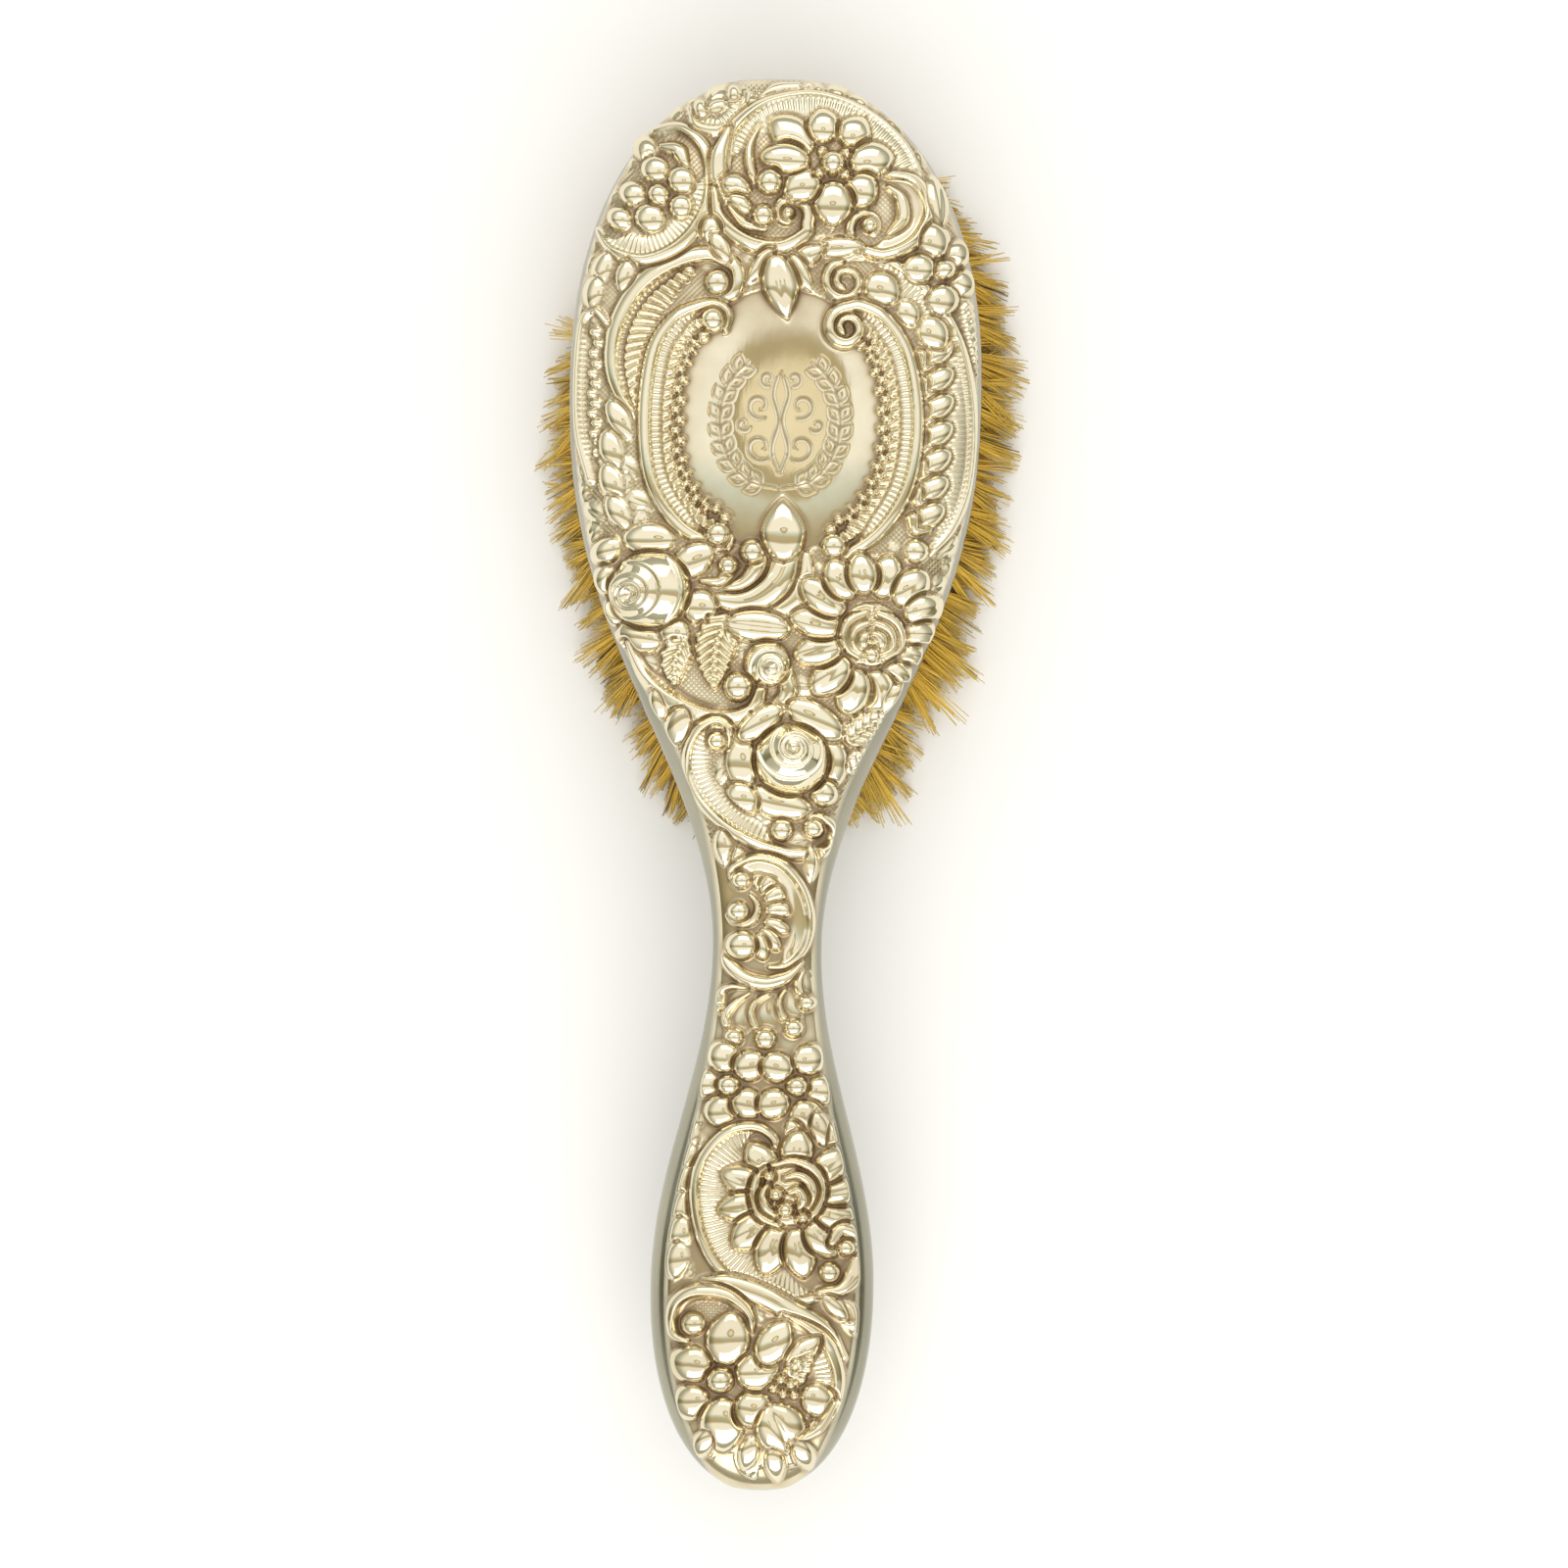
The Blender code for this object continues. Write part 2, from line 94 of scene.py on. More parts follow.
# Where the ornament's plan is drawn as seen from, and the level at which it is true to size
LAYOUT_EYE_X, LAYOUT_EYE_Z, LAYOUT_Z = 4.0, 520.0, 18.8

# Stage, in metres
CAMERA_PLACE, CAMERA_LENS, CAMERA_SHIFT, CAMERA_TURN = (0.004, 0.0, 0.52), 68.0, -0.006, 0.88
FLOOR_HALF_WIDTH = 3.0
SOFTBOX_SIZE, LIGHTS_AIM = (1.8, 0.8), (0, 0, 0.02)
OPENING_SCALE, OPENING_OFFSET = (0.62, 0.95, 0), (-0.02, -0.125, 0)
WALLS = ((0.0, (0.36, 0.37, 0.32)), (0.3, (0.50, 0.50, 0.45)), (0.6, (1.0, 0.98, 0.93)),
         (1.0, (1.0, 1.0, 1.0)))  # from straight down to straight up
OPENING = ((0.0, (0.92, 0.85, 0.69)), (0.082, (0.88, 0.80, 0.62)), (0.094, (0.44, 0.37, 0.23)),
           (0.134, (0.50, 0.43, 0.28)), (0.142, (1.0, 1.0, 1.0)))  # from its middle outward
BEAM = ((0.355, (1.0, 1.0, 1.0)), (0.385, (0.50, 0.43, 0.29)), (0.46, (0.56, 0.51, 0.37)),
        (0.50, (0.72, 0.80, 0.80)), (0.53, (1.0, 1.0, 1.0)))  # from the handle's end of the room
BACKDROP = (0.9, 0.9, 0.9, 1.0)  # what shows past the floor
ROOM_LIGHT = 1.15

# Fineness of the silver and of the grid its embossing is worked out on
BACK_ROWS, BACK_COLUMNS, INNER_COLUMNS = 1300, 480, 12
UNDER_ROWS, UNDER_COLUMNS = 160, 56
FRONT_ROWS = 12  # rows of the underside that are drawn back to its curved front edge
GRID = 0.15
GRID_HALF_WIDTH, GRID_HALF_LENGTH = 37.5, 121.5

# Colours and finishes
CLOUD_SCALE, DRIFT_SCALE, SCRATCH_SCALE = 240.0, 45.0, 900.0
BLOTCHES, DRIFT = 0.6, 0.45  # how strongly the fine and the broad patches of tarnish show
SILVER_ROUGHNESS = ((0.0, 0.05), (0.3, 0.17), (1.0, 0.5))
PLAIN_DULLNESS = 0.35
POLISHED, RUBBED = (0.81, 0.74, 0.55), (0.60, 0.51, 0.34)
BROWNED, BLACKENED = (0.44, 0.35, 0.225), (0.27, 0.20, 0.13)
# painted shade: the plain sloping sides get a much darker grey than the polished ornament, over their
# duller finish
PLAIN_SHADE_DARK, PLAIN_SHADE_LIGHT = (0.31, 0.30, 0.235), (0.42, 0.40, 0.31)
# painted shade: the bristles darken to near black towards their roots, down in the tuft under the silver
BRISTLE_ROOT_SHADE, BRISTLE_LOW = (0.10, 0.05, 0.008), (0.66, 0.39, 0.035)
BRISTLE_HIGH, BRISTLE_TIP = (0.93, 0.62, 0.08), (0.95, 0.68, 0.13)
BRISTLE_SHADE = (0.10, 0.075, 0.04)  # multiplies the colour of the darkest bristles
WOOD_DARK, WOOD_MID, WOOD_LIGHT = (0.20, 0.10, 0.045), (0.42, 0.24, 0.11), (0.56, 0.35, 0.17)
PITCH_DARK, PITCH_LIGHT = (0.03, 0.02, 0.014), (0.08, 0.05, 0.03)
IRON_DARK, IRON_LIGHT = (0.14, 0.13, 0.12), (0.32, 0.30, 0.28)
BRASS_DARK, BRASS_LIGHT = (0.45, 0.30, 0.10), (0.76, 0.56, 0.26)

# Embossing
MOAT = 0.45  # width of the chased line round each motif
SEAT = 0.45  # how much of the level below a motif keeps
LIP = 0.5  # half the width of the lip along a scroll
MEAN_EMBOSSING = 1.0
GROUND_LIFT = 0.35
PUNCH_PITCH, PUNCH_DEPTH = 0.9, 0.16  # the dotted ground between motifs
PUNCHED_FROM = (-14.0, -6.0)  # the dots fade in between these places along y
PUNCHED_POCKET = (-7.5, -89.5, 3.0, 5.0)  # middle and radii of the one dotted patch on the bulb
ROSE_GROWTH = 1.65  # how much wider each petal of a rose is wrapped than the one inside it
PETAL_SPREAD = (1.07, 1.15)  # petals' length and width, so that neighbours overlap
FLUTE_PITCH = 0.95
SMOOTH = 60.0  # a flute pitch so long that a band stays smooth
FLUTE_DEPTH = 0.4
BAND_FADE = 0.12  # share of a scroll's length over which its fluted band widens
BAND_TOP, BAND_FALL, LIP_TOP = 0.42, 0.22, 1.06  # as shares of the scroll's height
CREASE_WIDTH = 0.16  # as a share of a petal's half width
LEAF_LEAN = 42  # degrees between a garland's leaves and its stem
SHIELD = (0.8, 61.5, 18.6, 22.6)  # middle and half sizes of the smooth oval
SHIELD_SWELL = 1.1
SHIELD_LEAF = 3.2
HEAD_MARGIN = (0.7, 2.2)  # the embossing rises between these distances from the edge
HANDLE_MARGIN = (2.2, 3.8)
HANDLE_TARNISH = 0.09  # how much duller the bulb is than the head
PUNCH_BLUR, RECESS_BLUR, LOW_BLUR = 0.13, 0.7, 0.2
TARNISH_RANGE = (-0.15, 0.62)


def smoothstep(a, b, value):
    t = np.clip((value - a) / (b - a), 0.0, 1.0)
    return t * t * (3 - 2 * t)


def blend_by_y(y, head, neck, bulb):
    towards_head = neck + (head - neck) * smoothstep(NECK_Y, NECK_Y + 55, y)
    towards_bulb = neck + (bulb - neck) * smoothstep(-NECK_Y, -BULB_Y, -y)
    return np.where(y > NECK_Y, towards_head, towards_bulb)


def half_width(y):
    """Half the silver's width in plan."""
    y = np.asarray(y, float)
    reach = np.clip((y - WIDEST_Y) / (TIP_Y - WIDEST_Y), 0, 1)
    tip = HEAD_HALF_WIDTH * (1 - reach**END_POWER) ** (1 / END_POWER)
    share = np.clip((WIDEST_Y - y) / (WIDEST_Y - NECK_Y), 0, 1) ** SHOULDER_SKEW
    swing = 0.5 + 0.5 * np.cos(PI * share)
    shoulder = NECK_HALF_WIDTH + (HEAD_HALF_WIDTH - NECK_HALF_WIDTH) * swing
    swing = 0.5 - 0.5 * np.cos(PI * np.clip((NECK_Y - y) / (NECK_Y - BULB_Y), 0, 1))
    bulb = NECK_HALF_WIDTH + (BULB_HALF_WIDTH - NECK_HALF_WIDTH) * swing
    reach = np.clip((BULB_Y - y) / (BULB_Y - BUTT_Y), 0, 1)
    butt = BULB_HALF_WIDTH * (1 - reach**END_POWER) ** (1 / END_POWER)
    return np.select([y >= WIDEST_Y, y >= NECK_Y, y >= BULB_Y], [tip, shoulder, bulb], butt)


def outline(inset, rows, front=None):
    """y and half width from the tip, or a front plane, to the butt, evenly spaced."""
    angle = np.linspace(0, PI, 8001)
    y = TIP_Y * np.cos(angle)
    width = half_width(y)
    width[0] = width[-1] = 0.0
    along = np.gradient(np.stack([y, width], 1), axis=0)
    along /= np.linalg.norm(along, axis=1)[:, None]
    along[0] = along[-1] = (0, 1)
    y, width = y - inset * along[:, 1], np.maximum(width + inset * along[:, 0], 0)
    y[0], y[-1] = TIP_Y - inset, BUTT_Y + inset
    width[0] = width[-1] = 0.0
    if front is not None:
        kept = y < front
        y, width = y[kept], width[kept]
    travelled = np.concatenate([[0], np.cumsum(np.hypot(np.diff(y), np.diff(width)))])
    goals = np.linspace(0, travelled[-1], rows)
    return np.interp(goals, travelled, y), np.interp(goals, travelled, width)


def seam_z(y):
    return SKIRT_Z + (HANDLE_SEAM_Z - SKIRT_Z) * (1 - smoothstep(SEAM_RISE[1], SEAM_RISE[0], y))


def squareness(y):
    return blend_by_y(y, HEAD_SQUARENESS, HANDLE_SQUARENESS, HANDLE_SQUARENESS)


def end_roll(y, inset):
    """From 0 at either end to 1 where the rounding over the end is done."""
    run = np.where(y > 0, HEAD_HALF_WIDTH, BULB_HALF_WIDTH)
    from_end = np.clip((TIP_Y - inset - np.abs(y)) / run, 0, 1)
    power = squareness(y)
    return (1 - (1 - from_end) ** power) ** (1 / power)


def crown(y, inset):
    return (blend_by_y(y, HEAD_CROWN, NECK_CROWN, BULB_CROWN) - inset) * end_roll(y, inset)


def depth(y, inset):
    return (blend_by_y(y, THROAT_DEPTH, NECK_DEPTH, BULB_DEPTH) - inset) * end_roll(y, inset)


def arcs(y, width, rise, columns):
    """A sheet of points: each row is half a superellipse from +X over to -X, evenly spaced."""
    angle = np.linspace(0, PI, 1501)
    share = np.linspace(0, 1, columns)
    sheet = np.empty((len(y), columns, 3))
    sheet[..., 1] = y[:, None]
    for row, power in enumerate(2 / squareness(y)):
        x = width[row] * np.sign(np.cos(angle)) * np.abs(np.cos(angle)) ** power
        z = rise[row] * np.clip(np.sin(angle), 0, 1) ** power
        travelled = np.concatenate([[0], np.cumsum(np.hypot(np.diff(x), np.diff(z)))])
        sheet[row, :, 0] = np.interp(share * travelled[-1], travelled, x)
        sheet[row, :, 2] = np.interp(share * travelled[-1], travelled, z)
    sheet[..., 2] += seam_z(y)[:, None]
    return sheet


# ------------------------------------------------------------------ embossing


class Relief:
    """Heights of the embossing above the plain silver, on a grid over the plan."""

    def __init__(self):
        self.x = np.arange(-GRID_HALF_WIDTH, GRID_HALF_WIDTH + GRID, GRID)
        self.y = np.arange(-GRID_HALF_LENGTH, GRID_HALF_LENGTH + GRID, GRID)
        self.height = np.zeros((len(self.y), len(self.x)))
        self.engraved = np.zeros_like(self.height)

    def window(self, low, high):
        """The part of the grid between two corners, as slices and coordinates."""
        x0, x1 = np.searchsorted(self.x, (low[0], high[0]))
        y0, y1 = np.searchsorted(self.y, (low[1], high[1]))
        area = (slice(max(y0, 0), y1 + 1), slice(max(x0, 0), x1 + 1))
        return area, *np.meshgrid(self.x[area[1]], self.y[area[0]])

    def lay(self, area, height, gap):
        """Lays a motif over what is there. gap is the distance outside its outline."""
        below = self.height[area]
        inside = gap < 0
        if not inside.any():
            return
        seat = SEAT * below[inside].mean()
        moat = seat + (below - seat) * smoothstep(0, MOAT, gap)
        self.height[area] = np.where(inside, seat + height, moat)

    def trace(self, points, reach):
        """For the grid round a curve: signed distance across it, and distance along it."""
        path = curve_through(points)
        tangent = np.gradient(path, axis=0)
        tangent /= np.linalg.norm(tangent, axis=1)[:, None]
        steps = np.linalg.norm(np.diff(path, axis=0), axis=1)
        travelled = np.concatenate([[0], np.cumsum(steps)])
        area, x, y = self.window(path.min(0) - reach, path.max(0) + reach)
        nearest = np.full(x.shape, 4 * reach * reach)
        across = np.full(x.shape, 2 * reach)
        along = np.zeros(x.shape)
        span = int(reach / GRID) + 2
        for (px, py), (tx, ty), s in zip(path, tangent, travelled):
            i = int(round((py - y[0, 0]) / GRID))
            j = int(round((px - x[0, 0]) / GRID))
            near = (slice(max(i - span, 0), i + span), slice(max(j - span, 0), j + span))
            dx, dy = x[near] - px, y[near] - py
            square = dx * dx + dy * dy
            closer = square < nearest[near]
            nearest[near][closer] = square[closer]
            side = np.where(tx * dy - ty * dx >= 0, 1.0, -1.0)
            across[near][closer] = (side * np.sqrt(square))[closer]
            along[near][closer] = (s + tx * dx + ty * dy)[closer]
        return area, across, along, travelled[-1]


def curve_through(points, spacing=0.15):
    """A Catmull-Rom curve through plan points."""
    p = np.array(points, float)
    p = np.vstack([2 * p[0] - p[1], p, 2 * p[-1] - p[-2]])
    pieces = []
    for a, b, c, d in zip(p, p[1:], p[2:], p[3:]):
        count = max(int(np.linalg.norm(c - b) / spacing), 2)
        t = np.linspace(0, 1, count, endpoint=False)[:, None]
        pieces.append(
            0.5 * (2 * b + (c - a) * t + (2 * a - 5 * b + 4 * c - d) * t**2
                   + (3 * b - a - 3 * c + d) * t**3)
        )
    return np.vstack(pieces + [p[-2:-1]])


def dome(share):
    """A half-round profile: 1 in the middle, 0 where share reaches 1."""
    return np.sqrt(np.clip(1 - share * share, 0, 1))


def curl(x, y, radius, start, turns, inner=0.3):
    """Points that wind in towards x, y from a start angle. Negative turns wind clockwise."""
    count = int(abs(turns) * 10) + 1
    for i in range(count + 1):
        share = i / count
        angle = math.radians(start + 360 * turns * share)
        reach = radius * (1 - (1 - inner) * share)
        yield x + reach * math.cos(angle), y + reach * math.sin(angle)


def add_bead(relief, x, y, radius, height):
    reach = radius + MOAT
    area, gx, gy = relief.window((x - reach, y - reach), (x + reach, y + reach))
    away = np.hypot(gx - x, gy - y)
    relief.lay(area, height * dome(away / radius), away - radius)


def add_boss(relief, x, y, angle, length, width, height, point=0.0, crease=0.0):
    """A swelling petal about its middle x, y. point draws its far end out to a tip."""
    length, width = length * PETAL_SPREAD[0], width * PETAL_SPREAD[1]
    reach = max(length, width) / 2 + MOAT
    area, gx, gy = relief.window((x - reach, y - reach), (x + reach, y + reach))
    turn = math.radians(angle)
    along = ((gx - x) * math.cos(turn) + (gy - y) * math.sin(turn)) / (length / 2)
    across = ((gy - y) * math.cos(turn) - (gx - x) * math.sin(turn)) / (width / 2)
    round_end = dome(along)
    drawn_end = np.clip(1 - along, 0, 1) * (1 + 0.75 * np.clip(along, 0, 1))
    half = np.where(along > 0, round_end + point * (drawn_end - round_end), round_end)
    half = np.maximum(half, 0.02)
    swell = dome(across / half) * half**0.75
    fold = crease * np.exp(-((across / CREASE_WIDTH) ** 2)) * swell
    beyond = np.abs(along) > 1
    gap = (np.abs(across) - half) * width / 2
    gap = np.where(beyond, np.hypot((np.abs(along) - 1) * length / 2, across * width / 2), gap)
    relief.lay(area, height * swell - fold, gap)


def add_bosses(relief, about, petals, height, point=0.5, crease=0.0):
    """Petals given as (x, y, length, width), each pointing away from the middle about."""
    for x, y, length, width in petals:
        angle = math.degrees(math.atan2(y - about[1], x - about[0]))
        add_boss(relief, x, y, angle, length, width, height, point, crease)


def add_garland(relief, points, length=5.4, width=3.0, height=0.9, pitch=3.1):
    """Low leaves that lean out to either side of a curve in turn."""
    path = curve_through(points, pitch)
    for i, ((x, y), (next_x, next_y)) in enumerate(zip(path, path[1:])):
        lean = LEAF_LEAN if i % 2 else -LEAF_LEAN
        angle = math.degrees(math.atan2(next_y - y, next_x - x)) + lean
        turn = math.radians(angle)
        add_boss(relief, x + 0.3 * length * math.cos(turn), y + 0.3 * length * math.sin(turn),
                 angle, length, width, height, 0.6, 0.15)


def add_tube(relief, points, radius, height, widths=(0.5, 1.0, 0.5)):
    """A rounded stem whose width changes along it."""
    area, across, along, length = relief.trace(points, radius * max(widths) + MOAT)
    radii = radius * np.interp(along / length, np.linspace(0, 1, len(widths)), widths)
    away = np.abs(across)
    relief.lay(area, height * dome(away / radii) * (radii / radius) ** 0.5, away - radii)


def add_scroll(relief, points, side, outer, band, height, widths=(0.6, 1.0, 0.6),
               band_span=(0.0, 1.0), pitch=FLUTE_PITCH):
    """A scroll's rim: a broad outside slope, a lip on its crest, then a fluted band.

    The band is on the left of the curve if side is 1, over a span given as shares of its length.
    """
    area, across, along, length = relief.trace(points, max(outer * max(widths), band) + MOAT)
    share = np.clip(along / length, 0, 1)
    scale = np.interp(share, np.linspace(0, 1, len(widths)), widths)
    inward = across * side
    slope = height * scale**0.5 * dome(np.minimum(inward, 0) / (outer * scale))
    start, end = band_span
    shown = smoothstep(start, start + BAND_FADE, share) * (1 - smoothstep(end - BAND_FADE, end, share))
    width = LIP + (band - LIP) * shown
    fall = np.clip(inward / width, 0, 1)
    flutes = np.abs(np.sin(PI * along / pitch))
    floor = height * (BAND_TOP - BAND_FALL * fall) + FLUTE_DEPTH * flutes * (1 - fall**8)
    lip = LIP_TOP * height * scale**0.5 * dome(inward / LIP)
    body = np.maximum(np.where(inward < 0, slope, floor), lip)
    relief.lay(area, body, np.where(inward < 0, -inward - outer * scale, inward - width))


def add_lobes(relief, points, side, offset, width, pitch, height):
    """A ruffle beside a curve: a row of rounded lobes, every other one set further in."""
    area, across, along, length = relief.trace(points, offset + 1.3 * width + MOAT)
    pitch = length / max(round(length / pitch), 1)
    stagger = 0.35 * width * (np.floor(along / pitch) % 2)
    across_lobe = (across * side - offset - stagger) / width * 2 - 1
    along_lobe = (along % pitch) / pitch * 2 - 1
    out = np.hypot(across_lobe, along_lobe * 1.04)
    out = np.where((along > 0) & (along < length), out, 2.0)
    relief.lay(area, height * dome(out), (out - 1) * pitch / 2)


def add_pleats(relief, points, side, offset, width, pitch, height):
    """A ruffle of leaning pleats beside a curve, scalloped at its free edge."""
    area, across, along, length = relief.trace(points, offset + width + MOAT)
    inward = (across * side - offset) / width
    phase = (along + 0.5 * width * inward) / pitch
    ridge = np.abs(np.sin(PI * phase))
    share = np.clip(along / length, 0, 1)
    edge = (0.7 + 0.3 * ridge) * np.sin(PI * np.clip(share, 0.03, 0.97)) ** 0.3
    body = height * (0.25 + 0.85 * ridge**0.7) * dome(np.clip(inward / edge, 0, 1) ** 2)
    relief.lay(area, body, np.where(inward > 0, (inward - edge) * width, MOAT))


def add_leaf(relief, points, width, height, tooth=1.5):
    """A toothed leaf along a curved midrib."""
    area, across, along, length = relief.trace(points, width + MOAT)
    share = np.clip(along / length, 0, 1)
    teeth = 1 - 0.34 * np.abs((along / tooth) % 1.0 - 0.3)
    half = width / 2 * np.maximum(np.sin(PI * share**0.7) ** 0.7, 0.05) * teeth
    across = np.abs(across)
    body = height * (0.45 + 0.55 * np.clip(across / half, 0, 1)) * dome((across / half) ** 3)
    veins = 0.24 * height * np.cos(2 * PI * (along - 0.8 * across) / tooth)
    midrib = 0.35 * height * np.exp(-((across / 0.3) ** 2))
    gap = np.where((along > 0) & (along < length), across - half, across + 0.1)
    relief.lay(area, body + veins + midrib, gap)


def add_rose(relief, x, y, radius, height, heart_x, heart_y, hand=1):
    """A globe of petals wrapped round one another about a coiled heart set to one side."""
    reach = radius + MOAT
    area, gx, gy = relief.window((x - reach, y - reach), (x + reach, y + reach))
    away = np.hypot(gx - x, gy - y)
    around = np.arctan2(gy - heart_y, gx - heart_x) * hand
    from_heart = np.hypot(gx - heart_x, gy - heart_y)
    wrap = (np.log(np.maximum(from_heart, 0.4)) / math.log(ROSE_GROWTH) - around / (2 * PI)) % 1.0
    petal = 0.75 * (1 - wrap) ** 1.3 * smoothstep(0, 0.1, wrap) * smoothstep(0, 1.4, from_heart)
    hollow = 1.1 * (1 - smoothstep(0, 2.4, from_heart))
    relief.lay(area, height * dome(away / radius) + petal - hollow, away - radius)


def add_aster_heart(relief, x, y, radius, height):
    """A round flower heart of petals that fold in from both sides, one inside another."""
    add_bead(relief, x, y, radius, height)
    for reach in (0.82, 0.54, 0.27):
        for side in (-1, 1):
            arc = []
            for degrees in (12, 45, 80, 115, 150):
                turn = math.radians(degrees)
                arc.append((x + side * reach * radius * math.sin(turn),
                            y + radius * (0.9 * reach * math.cos(turn) - 0.3 * (1 - reach))))
            add_tube(relief, arc, 0.2 * radius, 0.62 * height, (0.6, 1.0, 1.0, 0.5))
    add_bead(relief, x, y - 0.62 * radius, 0.24 * radius, 0.6 * height)


def engrave(relief, points, width, cut):
    """A graver's line, swelling in the middle."""
    area, across, along, length = relief.trace(points, width + GRID)
    swell = np.sin(PI * np.clip(along / length, 0.04, 0.96)) ** 0.5
    groove = np.clip(1 - np.abs(across) / (width * swell), 0, 1)
    relief.height[area] -= cut * groove
    relief.engraved[area] = np.maximum(relief.engraved[area], groove)


def engrave_leaf(relief, x, y, angle, length):
    """An almond outline from its stalk at x, y."""
    tip = (x + length * math.cos(angle), y + length * math.sin(angle))
    reach = 0.55 * length
    for bow in (-0.5, 0.5):
        middle = (x + reach * math.cos(angle + bow), y + reach * math.sin(angle + bow))
        engrave(relief, [(x, y), middle, tip], 0.24, 0.16)


def on_shield(points, side):
    """Plan points from (across, up) pairs about the shield's middle, mirrored if side is -1."""
    return [(SHIELD[0] + side * across, SHIELD[1] + up) for across, up in points]


def emboss_shield(relief):
    """The smooth oval shield, graved with a wreath round a spray of tendrils."""
    x, y, half_x, half_y = SHIELD
    area, gx, gy = relief.window((x - half_x, y - half_y), (x + half_x, y + half_y))
    out = np.hypot((gx - x) / half_x, (gy - y) / half_y)
    relief.height[area] = SHIELD_SWELL * np.clip(1 - out**2, 0, 1) ** 0.8
    for side in (-1, 1):
        stem = on_shield(((0.4, -11.5), (5.4, -10.2), (9.0, -5.8), (10.2, 0.0), (9.0, 5.8), (5.4, 10.0)),
                         side)
        engrave(relief, stem, 0.32, 0.2)
        path = curve_through(stem, 2.6)
        for (px, py), (next_x, next_y) in zip(path[1:], path[2:]):
            along = math.atan2(next_y - py, next_x - px)
            engrave_leaf(relief, px, py, along + 0.6, SHIELD_LEAF)
            engrave_leaf(relief, px, py, along - 0.6, SHIELD_LEAF)
        for across, up, radius, start, turns in (
                (3.4, -4.6, 2.6, -150, 1.1), (3.6, 2.4, 2.3, -120, 1.1), (2.2, 7.0, 1.4, -120, 1.0),
                (6.2, -0.8, 1.3, -160, 0.9)):
            tendril = on_shield(curl(across, up, radius, start, turns, 0.25), side)
            engrave(relief, tendril, 0.26, 0.18)
        almond = ((0.2, -9), (1.4, -5), (0.3, 0), (1.3, 4.5), (0.1, 8.6))
        engrave(relief, on_shield(almond, side), 0.3, 0.2)


def emboss_ground(relief):
    """Low foliage that shows between the larger motifs."""
    for points in (
            ((-31, 92), (-33, 80), (-33.6, 66), (-32, 50), (-28, 36), (-24, 24), (-18, 10), (-13, -4)),
            ((31, 92), (33.6, 80), (34, 66), (33, 52), (29.6, 38), (26, 24)),
            ((-30, 99), (-24, 108), (-15, 114.6), (-4, 117.6)),
            ((5, 118), (16, 115), (24.4, 108.6), (29, 100)),
            ((-25, 66), (-26, 54), (-21, 42)),
            ((-13, 90), (-5, 88.6), (5, 89.6), (12, 90)),
            ((-14, 42), (-6, 34), (2, 30)),
            ((6, 36), (14, 40), (23, 36)),
            ((-10, 28), (-2, 22), (6, 14)),
            ((-8, 12), (-6, 0), (0, -8), (6, -12)),
            ((-11, -57), (-13.6, -70), (-14.6, -84)),
            ((-9, -110), (0, -114.6), (9, -110)),
            ((2, -100), (4, -106), (8, -108)),
            ((-2, -88), (4, -90), (10, -94))):
        add_garland(relief, points)


